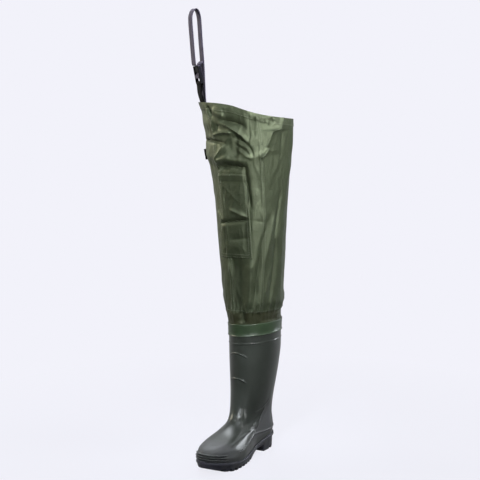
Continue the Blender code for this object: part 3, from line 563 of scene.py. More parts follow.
class WaderStrapSizes(bpy.types.PropertyGroup):
    """Sizes of the belt strap, its buckle and the side tab."""

    width: length_property("Width", "Width of the webbing", 0.025)
    thick: length_property("Thickness", "Thickness of the webbing", 0.0017)
    buckle_width: length_property("Buckle width", "Across the rails", 0.0335)
    buckle_length: length_property("Buckle length", "Along the strap", 0.040)
    buckle_depth: length_property("Buckle depth", "Depth of the rails", 0.0078)
    buckle_rail: length_property("Rail", "Width of a side rail", 0.0042)
    buckle_bar: length_property("Bar", "Thickness of a bar", 0.0030)
    buckle_plate: length_property("Plate", "Height of the top plate", 0.0145)
    buckle_slot: length_property("Slot", "Height of the upper slot", 0.0085)
    tab_tall: length_property("Tab", "Height of the side tab", 0.025)
    tab_reach: length_property("Tab reach", "How far the tab stands out", 0.0062)
    tab_thick: length_property("Tab thickness", "Thickness of the tab", 0.0034)


class WaderColours(bpy.types.PropertyGroup):
    """Colours of the finishes, in linear light."""

    boot: colour_property("Boot", "Glossy boot", (0.041, 0.046, 0.040))
    boot_satin: colour_property("Boot satin", "Satin quarter", (0.090, 0.092, 0.094))
    sole: colour_property("Sole", "Moulded sole", (0.055, 0.055, 0.069))
    felt: colour_property("Felt", "Insole", (0.30, 0.30, 0.28))
    tape: colour_property("Tape", "Welded joint tape", (0.033, 0.055, 0.028))
    cloth: colour_property("Cloth", "Coated cloth", (0.022, 0.028, 0.015))
    cloth_dark: colour_property("Cloth dark", "Darker tone of the cloth", (0.015, 0.020, 0.010))
    # Painted shade: the cloth's colour deep in its troughs.
    crease: colour_property("Crease", "Cloth deep in a fold", (0.007, 0.009, 0.004))
    cuff: colour_property("Cuff", "Browner cuff above the joint", (0.015, 0.014, 0.005))
    thread: colour_property("Thread", "Sewing thread", (0.13, 0.155, 0.105))
    grey_web: colour_property("Grey webbing", "Belt strap", (0.104, 0.092, 0.146))
    black_web: colour_property("Black webbing", "Buckle web and tab", (0.004, 0.004, 0.005))
    buckle: colour_property("Buckle", "Buckle plastic", (0.003, 0.003, 0.004))


class WaderStage(bpy.types.PropertyGroup):
    """Camera, floor and lights."""

    azimuth: FloatProperty(
        name="Azimuth", description="Camera's turn", default=math.radians(28.5), subtype="ANGLE"
    )
    height: length_property("Height", "Camera's height", 0.88)
    distance: length_property("Distance", "From the boot's axis", 2.8)
    pitch: FloatProperty(
        name="Pitch", description="Camera looks down", default=math.radians(7.615), subtype="ANGLE"
    )
    focal: FloatProperty(
        name="Focal", description="Focal length in frame pixels", default=1197.6, subtype="PIXEL"
    )
    axis_right: FloatProperty(
        name="Axis", description="Boot's axis right of centre", default=14.0, subtype="PIXEL"
    )
    backdrop: colour_property("Backdrop", "Pale background", (0.888, 0.888, 0.956))
    fill: share_property("Fill", "Brightness of the room behind", 0.5)
    front_fill: share_property("Front fill", "Brightness of the camera's side", 0.03)
    floor_share: share_property("Floor share", "How much the floor takes light", 0.10)
    floor_glow: share_property("Floor glow", "The floor's own brightness by the boot", 0.89)


def smooth_through(knots, values, places):
    """Values at places on a curve through the knots that never overshoots a row."""
    knots = np.asarray(knots, float)
    values = np.asarray(values, float)
    places = np.clip(np.asarray(places, float), knots[0], knots[-1])
    steps = np.diff(knots)
    rises = np.diff(values) / steps
    slopes = np.empty_like(values)
    slopes[0] = rises[0]
    slopes[-1] = rises[-1]
    for i in range(1, len(knots) - 1):
        before, after = rises[i - 1], rises[i]
        turning = before * after <= 0.0
        slopes[i] = 0.0 if turning else 2.0 * before * after / (before + after)
    found = np.clip(np.searchsorted(knots, places, side="right") - 1, 0, len(steps) - 1)
    t = (places - knots[found]) / steps[found]
    start = (1 + 2 * t) * (1 - t) ** 2 * values[found] + t * (1 - t) ** 2 * steps[found] * slopes[found]
    end = t**2 * (3 - 2 * t) * values[found + 1] - t**2 * (1 - t) * steps[found] * slopes[found + 1]
    return start + end


def column(rows, name):
    return [getattr(row, name) for row in rows]


def ease(low, high, value):
    """0 at low, 1 at high, with soft ends."""
    t = np.clip((value - low) / (high - low), 0.0, 1.0)
    return t * t * (3.0 - 2.0 * t)


def crest(t):
    """A crease's section: a little round at the top, falling away on both sides."""
    return np.exp(CREASE_ROUND - np.sqrt(CREASE_ROUND**2 + 4.0 * t * t))


def unit(vectors):
    return vectors / np.linalg.norm(vectors, axis=-1, keepdims=True)


def lengths_along(points):
    """Length of a line of points from its start to each point."""
    return np.concatenate([[0.0], np.cumsum(np.linalg.norm(np.diff(points, axis=0), axis=1))])


def curve_through(points, spacing):
    """Points spaced along a smooth curve through given points."""
    points = np.asarray(points, float)
    lengths = lengths_along(points)
    places = np.linspace(0.0, lengths[-1], max(2, int(round(lengths[-1] / spacing)) + 1))
    return np.stack([smooth_through(lengths, points[:, i], places) for i in range(points.shape[1])], axis=-1)


def every(step, count):
    """Numbers from 0 that are a step apart, and the last one of the count."""
    return np.unique(np.concatenate([np.arange(0, count, step), [count - 1]]))


def crest_across(away, half_width):
    """Section of a thin moulded line, 1 at its middle."""
    return np.exp(-((away / half_width) ** 2))


def distance_to(line, points):
    """Distance of each point from a fine line, in the plane that both are given in."""
    flat = points.reshape(-1, 2)
    nearest = np.full(len(flat), np.inf)
    for start, end in zip(line, line[1:]):
        way = end - start
        share = np.clip(((flat - start) @ way) / (way @ way), 0.0, 1.0)
        off = flat - start - share[:, None] * way
        nearest = np.minimum(nearest, np.hypot(off[:, 0], off[:, 1]))
    return nearest.reshape(points.shape[:-1])


# Meshes


def grid_faces(first, rows, columns, closed, flipped):
    """Corner numbers of the quads of a grid of points, its columns closed into a loop or not."""
    across = np.arange(columns if closed else columns - 1)
    up = np.arange(rows - 1)[:, None]
    right = (across + 1) % columns
    low, high = up * columns, (up + 1) * columns
    corners = [low + across, low + right, high + right, high + across]
    faces = np.stack([np.broadcast_to(c, (rows - 1, len(across))) for c in corners], axis=-1).reshape(-1, 4)
    return (faces[:, ::-1] if flipped else faces) + first


def ring_faces(first_loop, second_loop):
    """Quads between two closed loops of corner numbers."""
    return np.stack([first_loop, np.roll(first_loop, -1), np.roll(second_loop, -1), second_loop], axis=-1)


def smooth_shading(mesh, angle):
    """Smooth faces, with sharp edges where they turn by more than so many degrees."""
    mesh.shade_smooth()
    mesh.set_sharp_from_angle(angle=math.radians(angle))


def link_piece(name, mesh):
    piece = bpy.data.objects.new(name, mesh)
    bpy.context.scene.collection.objects.link(piece)
    return piece


def new_piece(name, points, faces, finish, smooth_angle=SMOOTH_ANGLE):
    """A shaded object from points and faces, with its faces pointing out."""
    mesh = bpy.data.meshes.new(name)
    mesh.from_pydata(np.asarray(points).reshape(-1, 3).tolist(), [], [list(map(int, face)) for face in faces])
    bm = bmesh.new()
    bm.from_mesh(mesh)
    bmesh.ops.recalc_face_normals(bm, faces=bm.faces)
    bm.to_mesh(mesh)
    bm.free()
    smooth_shading(mesh, smooth_angle)
    mesh.materials.append(finish)
    return link_piece(name, mesh)


def rod_faces(rows, columns):
    """Faces of a grid of closed loops with a face over each end."""
    loop = np.arange(columns)
    sides = [list(face) for face in grid_faces(0, rows, columns, True, False)]
    return sides + [list(loop), list((rows - 1) * columns + loop)]


def soften_edges(piece, width, segments, turn):
    """A rounding of each edge that turns by more than so many degrees."""
    edges = piece.modifiers.new("soft_edges", "BEVEL")
    edges.width = width
    edges.segments = segments
    edges.limit_method = "ANGLE"
    edges.angle_limit = math.radians(turn)


def apply_modifiers(piece):
    """The piece's mesh as its modifiers leave it."""
    bpy.context.view_layer.update()
    shaped = piece.evaluated_get(bpy.context.evaluated_depsgraph_get())
    mesh = bpy.data.meshes.new_from_object(shaped)
    piece.modifiers.clear()
    piece.data = mesh


def tube(name, outer, inner, finish):
    """A hollow wall from loops of its outer face and loops of its inner face, open at both ends."""
    rows, columns = outer.shape[:2]
    inner_rows = inner.shape[0]
    second = rows * columns
    loop = np.arange(columns)
    faces = np.concatenate([
        grid_faces(0, rows, columns, True, True),
        grid_faces(second, inner_rows, columns, True, False),
        ring_faces(loop, second + loop),
        ring_faces(second + (inner_rows - 1) * columns + loop, (rows - 1) * columns + loop),
    ])
    points = np.concatenate([outer.reshape(-1, 3), inner.reshape(-1, 3)])
    return new_piece(name, points, faces, finish)


def mark(piece, name, values):
    """A number at each point of a mesh, for its finish to read."""
    layer = piece.data.attributes.new(name, "FLOAT", "POINT")
    layer.data.foreach_set("value", np.asarray(values, np.float32).ravel())


def dress(piece, slot=None, *nodes):
    """The piece rides on the wader and stands for its solids, which it hides."""
    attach(piece, "root")
    if nodes:
        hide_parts(*nodes)
    return piece


# Finishes


def darker(colour, share):
    return tuple(part * share for part in colour)


class Finish:
    """A material with short calls for the nodes that its surface needs."""

    def __init__(self, name, colour, roughness):
        self.material = bpy.data.materials.new(name)
        self.material.use_nodes = True
        self.nodes = self.material.node_tree.nodes
        self.links = self.material.node_tree.links
        self.shader = self.nodes["Principled BSDF"]
        self.place = self.nodes.new("ShaderNodeTexCoord").outputs["Object"]
        self.set("Base Color", (*colour, 1.0))
        self.set("Roughness", roughness)
        self.normal = None

    def set(self, socket, value):
        self.shader.inputs[socket].default_value = value

    def feed(self, socket, output):
        self.links.new(output, self.shader.inputs[socket])

    def add(self, kind, inputs=(), **settings):
        node = self.nodes.new(kind)
        for name, value in settings.items():
            setattr(node, name, value)
        for socket, value in inputs:
            if isinstance(value, bpy.types.NodeSocket):
                self.links.new(value, node.inputs[socket])
            else:
                node.inputs[socket].default_value = value
        return node

    def stretched(self, scale):
        return self.add("ShaderNodeMapping", (("Vector", self.place), ("Scale", scale))).outputs["Vector"]

    def speckle(self, scale, detail=2.0, where=None, **settings):
        inputs = (("Vector", where or self.place), ("Scale", scale), ("Detail", detail))
        return self.add("ShaderNodeTexNoise", inputs, **settings).outputs["Fac"]

    def between(self, factor, low, high, first=0.35, last=0.65):
        """A number or colour that goes from low to high as the factor goes from first to last."""
        spread = self.add("ShaderNodeMapRange", (("Value", factor), ("From Min", first), ("From Max", last)))
        if isinstance(low, (int, float)):
            spread.inputs["To Min"].default_value = low
            spread.inputs["To Max"].default_value = high
            return spread.outputs["Result"]
        mix = self.add("ShaderNodeMix", data_type="RGBA")
        self.links.new(spread.outputs["Result"], mix.inputs["Factor"])
        for socket, value in ((mix.inputs[6], low), (mix.inputs[7], high)):
            if isinstance(value, bpy.types.NodeSocket):
                self.links.new(value, socket)
            else:
                socket.default_value = (*value, 1.0)
        return mix.outputs[2]

    def blend(self, factor, low, high):
        """As between, with the factor from 0 to 1."""
        return self.between(factor, low, high, 0.0, 1.0)

    def tones(self, colour, dark, light, scale, detail=2.0):
        """A colour in speckles from a darker to a lighter share of it."""
        return self.between(self.speckle(scale, detail), darker(colour, dark), darker(colour, light))

    def attribute(self, name):
        return self.add("ShaderNodeAttribute", attribute_name=name).outputs["Fac"]

    def woven(self):
        return self.add("ShaderNodeUVMap", uv_map="cloth").outputs["UV"]

    def wave(self, where, scale, direction, distortion=0.0):
        inputs = (("Vector", where), ("Scale", scale), ("Distortion", distortion))
        return self.add("ShaderNodeTexWave", inputs, bands_direction=direction).outputs["Fac"]

    def pair(self, operation, first, second):
        return self.add("ShaderNodeMath", ((0, first), (1, second)), operation=operation).outputs[0]

    def roughen(self, low, high, scale, detail):
        """A roughness in speckles from low to high."""
        self.feed("Roughness", self.between(self.speckle(scale, detail), low, high))

    def bump(self, height, strength, distance):
        inputs = [("Height", height), ("Strength", strength), ("Distance", distance)]
        if self.normal is not None:
            inputs.append(("Normal", self.normal))
        self.normal = self.add("ShaderNodeBump", inputs).outputs["Normal"]
        self.feed("Normal", self.normal)

    def grain(self, scale, strength, distance, detail=2.0, **settings):
        """A bump in speckles."""
        self.bump(self.speckle(scale, detail, **settings), strength, distance)


def boot_finish(colours):
    finish = Finish("moulded_boot", colours.boot, roughness=0.34)
    satin = finish.attribute("satin")
    cloudy = finish.tones(colours.boot, dark=0.85, light=1.2, scale=14.0, detail=3.0)
    moulded = finish.blend(satin, cloudy, colours.boot_satin)
    # Painted shade: in the grooves between the toe ribs the colour falls to 0.3 of the boot's.
    painted_groove_shade = finish.blend(finish.attribute("groove"), moulded, darker(colours.boot, 0.3))
    finish.feed("Base Color", painted_groove_shade)
    gloss = finish.between(finish.speckle(scale=30.0, detail=4.0), low=0.285, high=0.325)
    finish.feed("Roughness", finish.pair("ADD", gloss, finish.blend(satin, low=0.0, high=0.18)))
    finish.grain(scale=26.0, strength=0.02, distance=0.001)
    finish.grain(scale=420.0, strength=0.04, distance=0.0004)
    return finish.material


def sole_finish(colours):
    finish = Finish("moulded_sole", colours.sole, roughness=0.5)
    finish.feed("Base Color", finish.tones(colours.sole, dark=0.7, light=1.25, scale=45.0, detail=4.0))
    finish.roughen(low=0.42, high=0.60, scale=60.0, detail=3.0)
    finish.grain(scale=500.0, strength=0.12, distance=0.0004, detail=3.0)
    return finish.material


def felt_finish(colours):
    finish = Finish("insole_felt", colours.felt, roughness=0.95)
    finish.feed("Base Color", finish.tones(colours.felt, dark=0.6, light=1.0, scale=300.0, detail=4.0))
    finish.set("Sheen Weight", 0.3)
    finish.grain(scale=700.0, strength=0.4, distance=0.0006, detail=4.0)
    return finish.material


def tape_finish(colours):
    finish = Finish("joint_tape", colours.tape, roughness=0.4)
    finish.feed("Base Color", finish.tones(colours.tape, dark=0.8, light=1.15, scale=18.0, detail=3.0))
    finish.roughen(low=0.34, high=0.48, scale=40.0, detail=3.0)
    finish.set("Coat Weight", 0.15)
    finish.set("Coat Roughness", 0.3)
    around = finish.stretched((30.0, 30.0, 140.0))
    finish.grain(scale=1.0, strength=0.12, distance=0.001, detail=3.0, where=around)
    return finish.material


def cloth_finish(name, colours, painted_shade):
    """Coated cloth: cloudy and flecked, browner at the cuff, with painted shade that darkens its folds, which
    are also rougher. A share below 1 darkens a whole copy of the cloth as painted shade.
    """
    finish = Finish(name, darker(colours.cloth, painted_shade), roughness=0.45)
    cloud = finish.speckle(scale=7.0, detail=4.0)
    dark, light = darker(colours.cloth_dark, painted_shade), darker(colours.cloth, painted_shade)
    tone = finish.between(cloud, dark, light, first=0.25, last=0.62)
    fleck = finish.between(finish.speckle(scale=260.0, detail=3.0), low=0.82, high=1.16)
    flecked = finish.add("ShaderNodeMix", data_type="RGBA", blend_type="MULTIPLY")
    flecked.inputs["Factor"].default_value = 1.0
    finish.links.new(tone, flecked.inputs[6])
    finish.links.new(fleck, flecked.inputs[7])
    cuffed = finish.blend(finish.attribute("cuff"), flecked.outputs[2], colours.cuff)
    # Painted shade: deep in the troughs the colour goes to the crease colour, and the roughness rises there.
    crevice = finish.attribute("crevice")
    finish.feed("Base Color", finish.blend(crevice, cuffed, colours.crease))
    gloss = finish.between(finish.speckle(scale=35.0, detail=4.0), low=0.52, high=0.62)
    finish.feed("Roughness", finish.pair("ADD", gloss, finish.blend(crevice, low=0.0, high=0.30)))
    finish.set("Specular IOR Level", 1.0)
    finish.set("Specular Tint", (0.86, 1.0, 0.68, 1.0))
    finish.grain(scale=46.0, strength=0.42, distance=0.0026, detail=4.0, noise_type="RIDGED_MULTIFRACTAL")
    finish.grain(scale=150.0, strength=0.45, distance=0.0012, detail=3.0)
    woven = finish.woven()
    threads = [finish.wave(woven, scale=420.0, direction=way) for way in ("X", "Y")]
    finish.bump(finish.pair("MAXIMUM", *threads), strength=0.25, distance=0.00015)
    return finish.material


def thread_finish(colours):
    finish = Finish("sewing_thread", colours.thread, roughness=0.6)
    finish.feed("Base Color", finish.tones(colours.thread, dark=0.8, light=1.0, scale=200.0))
    finish.grain(scale=2600.0, strength=0.3, distance=0.0002)
    return finish.material


def webbing_finish(name, colour, sheen):
    finish = Finish(name, colour, roughness=0.7)
    woven = finish.woven()
    ribs = finish.wave(woven, scale=190.0, direction="X", distortion=0.4)
    picks = finish.wave(woven, scale=150.0, direction="Y", distortion=0.4)
    weave = finish.pair("MULTIPLY", ribs, picks)
    tone = finish.between(weave, darker(colour, 0.62), darker(colour, 1.2), first=0.0, last=0.6)
    finish.feed("Base Color", tone)
    finish.set("Sheen Weight", sheen)
    finish.set("Specular IOR Level", 0.06)
    finish.bump(weave, strength=0.6, distance=0.0004)
    finish.grain(scale=900.0, strength=0.2, distance=0.0002, detail=3.0)
    return finish.material


def buckle_finish(colours):
    finish = Finish("buckle_plastic", colours.buckle, roughness=0.3)
    finish.set("Specular IOR Level", 0.10)
    finish.set("Specular Tint", (0.75, 0.78, 1.0, 1.0))
    finish.roughen(low=0.40, high=0.55, scale=150.0, detail=3.0)
    finish.grain(scale=900.0, strength=0.1, distance=0.0002)
    return finish.material


# Boot and sole


def shares_of(turns):
    """Share of the way from heel to toe at each turn; turn 0 is the heel and 0.5 the toe."""
    return (1.0 - np.cos(2.0 * math.pi * turns)) / 2.0


def closing(share, heel_round, toe_round, toe_square):
    """How far a loop has opened to its full width, with a round heel end and a round toe end."""
    heel = np.clip((heel_round - share) / heel_round, 0.0, 1.0)
    toe = np.clip((share - 1.0 + toe_round) / toe_round, 0.0, 1.0)
    return np.sqrt(1.0 - heel**2) * (1.0 - toe**toe_square) ** (1.0 / toe_square)


def boot_loop(place, turns):
    """One loop round the boot. Place 0 is the feather line on the sole, the last one the collar."""
    order = np.arange(len(BOOT_LOOPS))
    sizes = (smooth_through(order, column(BOOT_LOOPS, name), place) for name in BootLoop._fields)
    row = BootLoop(*(float(size) for size in sizes))
    share = shares_of(turns)
    stations = column(FOOT_PLAN, "share")
    plan = (smooth_through(stations, column(FOOT_PLAN, name), share) for name in PlanStation._fields[1:])
    widening, shift, sag = plan
    half = row.heel_half + (row.fore_half - row.heel_half) * widening
    side = np.where(turns < 0.5, 1.0, -1.0)
    opened = closing(share, row.heel_round, row.toe_round, row.toe_square)
    x = TOE_SHIFT * row.toe_shift * shift + side * half * opened
    y = row.back_y + (row.front_y - row.back_y) * share
    z = row.back_z + (row.front_z - row.back_z) * share - row.sag * sag
    return np.stack([x, y, z], axis=-1)


def collar_place(height):
    """Place of a height in the straight stretch of shaft below the collar."""
    low, high = BOOT_LOOPS[-2].back_z, BOOT_LOOPS[-1].back_z
    return len(BOOT_LOOPS) - 2 + (height - low) / (high - low)


def outward(grid):
    """Unit normals of a grid of closed loops, bottom loop first."""
    around = np.roll(grid, -1, axis=1) - np.roll(grid, 1, axis=1)
    normals = unit(np.cross(np.gradient(grid, axis=0), around))
    flat = (grid - grid.mean(axis=1, keepdims=True))[..., :2]
    return normals if float((normals[..., :2] * flat).sum()) > 0.0 else -normals


def moulded_lines(grid):
    """Height of the lines along the quarters, the instep and the shin."""
    height = np.zeros(grid.shape[:2])
    for line in SIDE_LINES:
        away = distance_to(curve_through(line.points, LINE_SPACING), grid[..., 1:])
        height += line.height * crest_across(away, line.half_width)
    front = ease(*FRONT_LINE_EASE, grid[..., 1])
    for line in FRONT_LINES:
        away = distance_to(curve_through(line.points, LINE_SPACING), grid[..., (0, 2)])
        height += line.height * front * crest_across(away, line.half_width)
    return height


def shin_arcs(grid, sizes):
    """Two shallow arcs over the front of the shaft."""
    height = np.zeros(grid.shape[:2])
    front = grid[..., 1] < 0.0
    for top in SHIN_ARC_TOPS:
        right = grid[..., 0] - SHIN_ARC_OFFSET
        up = grid[..., 2] - (top - SHIN_ARC_RADIUS)
        turn = np.abs(np.arctan2(right, up))
        away = np.hypot(right, up) - SHIN_ARC_RADIUS
        shown = front * (1.0 - ease(SHIN_ARC_HALF_TURN * SHIN_ARC_FADE, SHIN_ARC_HALF_TURN, turn))
        height += sizes.arc_height * shown * crest_across(away, sizes.arc_half)
    return height


def toe_ribs(places, grid, sizes):
    """How far each point lies up on a rib over the toe, and how far down in a groove between two ribs, where
    the boot's colour carries painted shade.
    """
    toe = ease(*TOE_RIB_EASE, grid[..., 1])
    raised = np.zeros(len(places))
    for rib in range(sizes.rib_count):
        low = sizes.rib_first + rib * sizes.rib_pitch
        high = low + RIB_TOP
        raised += ease(low, low + RIB_SLOPE, places) * (1.0 - ease(high, high + RIB_SLOPE, places))
    top = sizes.rib_first + (sizes.rib_count - 1) * sizes.rib_pitch
    among = (places > sizes.rib_first) & (places < top)
    return raised[:, None] * toe, (among * (1.0 - raised))[:, None] * toe


def satin_share(grid):
    """1 on the satin quarter behind its line, less on the toe cap, 0 on the glossy rest."""
    heights, lines = zip(*SATIN_LINE)
    edge = np.interp(grid[..., 2], heights, lines)
    behind = ease(*SATIN_EDGE_EASE, grid[..., 1] - edge)
    level = (1.0 - ease(*SATIN_TOP_EASE, grid[..., 2])) * ease(*SATIN_FOOT_EASE, grid[..., 2])
    return np.maximum(behind * level, TOE_SATIN * ease(*TOE_SATIN_EASE, grid[..., 1]))


def band_rise(angles):
    """How far the joint tape and the rim bead stand higher at the inner side and lower at the outer side."""
    return BAND_TILT * np.cos(np.radians(angles - BAND_HIGH_SIDE))


def make_boot_upper(sizes, colours):
    turns = np.arange(sizes.turns) / sizes.turns
    places = np.unique(np.concatenate([np.linspace(*stretch) for stretch in BOOT_STRETCHES]))
    smooth = np.stack([boot_loop(place, turns) for place in places])
    above_bead = smooth[..., 2] - sizes.bead_level - band_rise(OUTER_ANGLE - 360.0 * turns)
    bead = sizes.bead_height * crest_across(above_bead, sizes.bead_half)
    ribs, grooves = toe_ribs(places, smooth, sizes)
    relief = sizes.rib_height * ribs + moulded_lines(smooth) + shin_arcs(smooth, sizes) + bead
    normals = outward(smooth)
    outer = smooth + normals * relief[..., None]
    inner = (smooth - normals * sizes.wall)[every(BOOT_INNER_STEP, len(places))]
    inner[0, :, 2] = smooth[0, :, 2]
    inner[-1, :, 2] = BOOT_HEIGHT
    boot = tube("moulded_boot", outer, inner, boot_finish(colours))
    # The groove share drives painted shade between the toe ribs
    for name, share in (("satin", satin_share(smooth)), ("groove", grooves)):
        mark(boot, name, np.concatenate([share.ravel(), np.zeros(inner[..., 0].size)]))
    return boot


def plan_offset(loop, distance):
    """A loop pushed outward in plan, its heights kept."""
    around = np.roll(loop, -1, axis=0) - np.roll(loop, 1, axis=0)
    normal = unit(np.stack([around[:, 1], -around[:, 0]], axis=-1))
    if float((normal * (loop - loop.mean(axis=0))[:, :2]).sum()) < 0.0:
        normal = -normal
    moved = loop.copy()
    moved[:, :2] += normal * np.broadcast_to(distance, len(loop))[:, None]
    return moved


def sole_turns():
    """Turns at which the sole's outline is drawn: even ones, and one at each break of its profile."""
    heel, toe = BOOT_LOOPS[0].back_y, BOOT_LOOPS[0].front_y
    breaks = [(heel - station.y) / (heel - toe) for station in SOLE_PROFILE[1:-1]]
    inner = [math.acos(1.0 - 2.0 * share) / (2.0 * math.pi) for share in breaks]
    room = SOLE_BREAK_ROOM / SOLE_TURNS
    free = [t for t in np.linspace(0.0, 0.5, SOLE_TURNS) if min(abs(t - b) for b in inner) > room]
    half = sorted(free + inner)
    return np.array(half + [1.0 - t for t in half[-2:0:-1]])


def bottom_height(y):
    return np.interp(-np.asarray(y), [-s.y for s in SOLE_PROFILE], column(SOLE_PROFILE, "bottom"))


def across_faces(loop):
    """Strips across a closed loop of corner numbers, from its inner side to its outer side."""
    count = len(loop)
    faces = []
    for i in range(count // 2):
        ring = [loop[i], loop[i + 1], loop[count - i - 1], loop[-i] if i else loop[0]]
        faces.append(list(dict.fromkeys(ring)))
    return faces


def add_groove(bm, row, side, i):
    """One slanting groove with a round root, added to the cutter's mesh."""
    y = row.first + row.pitch * (i + (row.stagger if side < 0 else 0.0))
    top = float(bottom_height(y)) + LUG_DEPTH
    tall = LUG_DEPTH + LUG_BELOW
    spine = SPINE_HALF + TOE_SHIFT / 2.0 * float(ease(*SPINE_SHIFT_EASE, y)) * side
    place = Matrix.Translation((side * spine, y, top - tall / 2.0))
    turn = Matrix.Rotation(side * LUG_SLANT, 4, "Z")
    reach = Matrix.Translation((side * LUG_REACH / 2.0, 0.0, 0.0))
    size = Matrix.Diagonal((LUG_REACH, LUG_GROOVE, tall, 1.0))
    made = bmesh.ops.create_cube(bm, size=1.0, matrix=place @ turn @ reach @ size)
    corners = set(made["verts"])
    roof = max(corner.co.z for corner in corners)
    root = [
        edge for edge in bm.edges
        if set(edge.verts) <= corners
        and min(corner.co.z for corner in edge.verts) > roof - TINY
        and edge.calc_length() > LUG_GROOVE * 2.0
    ]
    bmesh.ops.bevel(bm, geom=root, offset=LUG_ROOT, segments=3, affect="EDGES", profile=0.5)


def lug_cutter():
    """Slanting grooves from both edges of the sole up to a spine along its middle."""
    bm = bmesh.new()
    for row in LUG_ROWS:
        for side in (1, -1):
            for i in range(row.count):
                add_groove(bm, row, side, i)
    mesh = bpy.data.meshes.new("lug_cutter")
    bmesh.ops.recalc_face_normals(bm, faces=bm.faces)
    bm.to_mesh(mesh)
    bm.free()
    return link_piece("lug_cutter", mesh)


def make_outsole(colours):
    """A rand with a ledge round the boot, a rolled toe edge and lugs cut out of its bottom."""
    turns = sole_turns()
    feather = boot_loop(0.0, turns)
    ledge = SOLE_LEDGE + HEEL_SPUR * (1.0 - ease(*HEEL_SPUR_EASE, shares_of(turns)))
    under = np.full(len(turns), SOLE_LEDGE - SOLE_STEP)
    loops = []
    for out, down in [(ledge + step.out, step.down) for step in SOLE_RIM] + [(under, SOLE_RAND)]:
        loop = plan_offset(feather, out)
        loop[:, 2] = feather[:, 2] - GAP - down
        loops.append(loop)
    roll = SOLE_EDGE + SOLE_ROLL * ease(*SOLE_ROLL_EASE, feather[:, 1])
    for inward, up in SOLE_ROLL_ARC:
        foot = plan_offset(feather, under - SOLE_DRAFT - inward * roll)
        foot[:, 2] = bottom_height(feather[:, 1]) + up * roll
        loops.append(foot)
    count = len(turns)
    faces = list(grid_faces(0, len(loops), count, True, False))
    faces += across_faces(list(range(count)))
    faces += across_faces(list(range((len(loops) - 1) * count, len(loops) * count)))
    sole = new_piece("lugged_sole", np.stack(loops), faces, sole_finish(colours), SOLE_SMOOTH_ANGLE)
    cutter = lug_cutter()
    grooves = sole.modifiers.new("lug_grooves", "BOOLEAN")
    grooves.operation = "DIFFERENCE"
    grooves.object = cutter
    soften_edges(sole, SOLE_SOFT_EDGE, segments=2, turn=50.0)
    apply_modifiers(sole)
    smooth_shading(sole.data, SOLE_SMOOTH_ANGLE)
    bpy.data.objects.remove(cutter)
    return sole


# Leg


def leg_base(angles, heights):
    """Points of the leg's smooth outer face."""
    levels = column(LEG_LOOPS, "height")
    sizes = (smooth_through(levels, column(LEG_LOOPS, name), heights) for name in LegLoop._fields[1:])
    lean, behind, half_x, half_y = sizes
    lean_angle = math.radians(OUTER_ANGLE)
    turn = np.radians(OUTER_ANGLE - angles)
    x = lean * math.sin(lean_angle) + half_x * np.sin(turn)
    y = behind + lean * math.cos(lean_angle) + half_y * np.cos(turn)
    return np.stack([x, y, heights + 0.0 * turn], axis=-1)


def leg_normals(angles, heights):
    step_angle, step_height = 0.5, 0.001
    around = leg_base(angles + step_angle, heights) - leg_base(angles - step_angle, heights)
    along = leg_base(angles, heights + step_height) - leg_base(angles, heights - step_height)
    return unit(np.cross(along, around) * -1.0)


def rim_height(angles):
    """Height of the thigh hem: highest at the outer side, lowest at the inner side and lower behind."""
    turn = np.radians(angles)
    rise = smooth_through(column(HEM_CURVE, "outer"), column(HEM_CURVE, "rise"), np.cos(turn))
    return RIM_MIDDLE + RIM_RISE * rise - RIM_FALL * (0.5 - 0.5 * np.sin(turn))


def turned(angles):
    """Angles brought into -180 to 180."""
    return (angles + 180.0) % 360.0 - 180.0


def metres_per_degree(height):
    half_x = smooth_through(column(LEG_LOOPS, "height"), column(LEG_LOOPS, "half_x"), height)
    return half_x * math.radians(1.0)


def gather_folds():
    """Short pleats all round where the cloth is drawn in above the cuff."""
    row = GATHERS
    for i in range(row.count):
        angle = 360.0 / row.count * i + row.wander * math.sin(7.0 * i)
        leaning = angle + row.lean * math.sin(3.0 * i)
        top = CUFF_TOP + row.tall + row.spread * math.sin(5.0 * i + 1.0)
        yield Fold(angle, CUFF_TOP - row.start, leaning, top, 0.0, row.width, row.rise)


def hem_puckers():
    """Small pleats below the hem at the inner front."""
    row = HEM_PUCKERS
    low, high = PUCKER_ANGLES
    for i in range(row.count):
        angle = low + (high - low) * i / (row.count - 1) + row.wander * math.sin(4.0 * i)
        leaning = angle + row.lean * math.sin(2.0 * i)
        rim = float(rim_height(np.array([angle]))[0])
        foot = rim - row.tall - row.spread * math.sin(3.0 * i)
        yield Fold(angle, rim - row.start, leaning, foot, 0.0, row.width, row.rise)


def all_folds():
    return list(PLACED_FOLDS) + list(gather_folds()) + list(hem_puckers())


def fold_relief(fold, angles, heights):
    """How far one fold lifts or sinks each point."""
    metres = float(metres_per_degree((fold.height_a + fold.height_b) / 2.0))
    right = turned(angles - fold.angle_a) * metres
    up = heights - fold.height_a
    way = np.array([(fold.angle_b - fold.angle_a) * metres, fold.height_b - fold.height_a])
    length = float(np.hypot(*way))
    share = (right * way[0] + up * way[1]) / length**2
    off = (up * way[0] - right * way[1]) / length - fold.bow * 4.0 * share * (1.0 - share)
    shown = ease(*FOLD_START_EASE, share) * (1.0 - ease(*FOLD_END_EASE, share))
    return fold.rise * shown * crest(off / fold.width)


def painted_fold_shade_share(angles, heights):
    """How deep each point lies in the troughs, 0 to 1: the cloth's colour is painted darker there as shade,
    and it is rougher.
    """
    depth = sum(-fold_relief(fold, angles, heights) for fold in PLACED_FOLDS if fold.rise < 0.0)
    return ease(*PAINTED_FOLD_SHADE_EASE, depth)


def line_angle(places, heights):
    """Angle at which a line that runs up the leg passes each height."""
    line = sorted((height, angle) for angle, height in places)
    line_heights, line_angles = zip(*line)
    return smooth_through(line_heights, line_angles, heights)


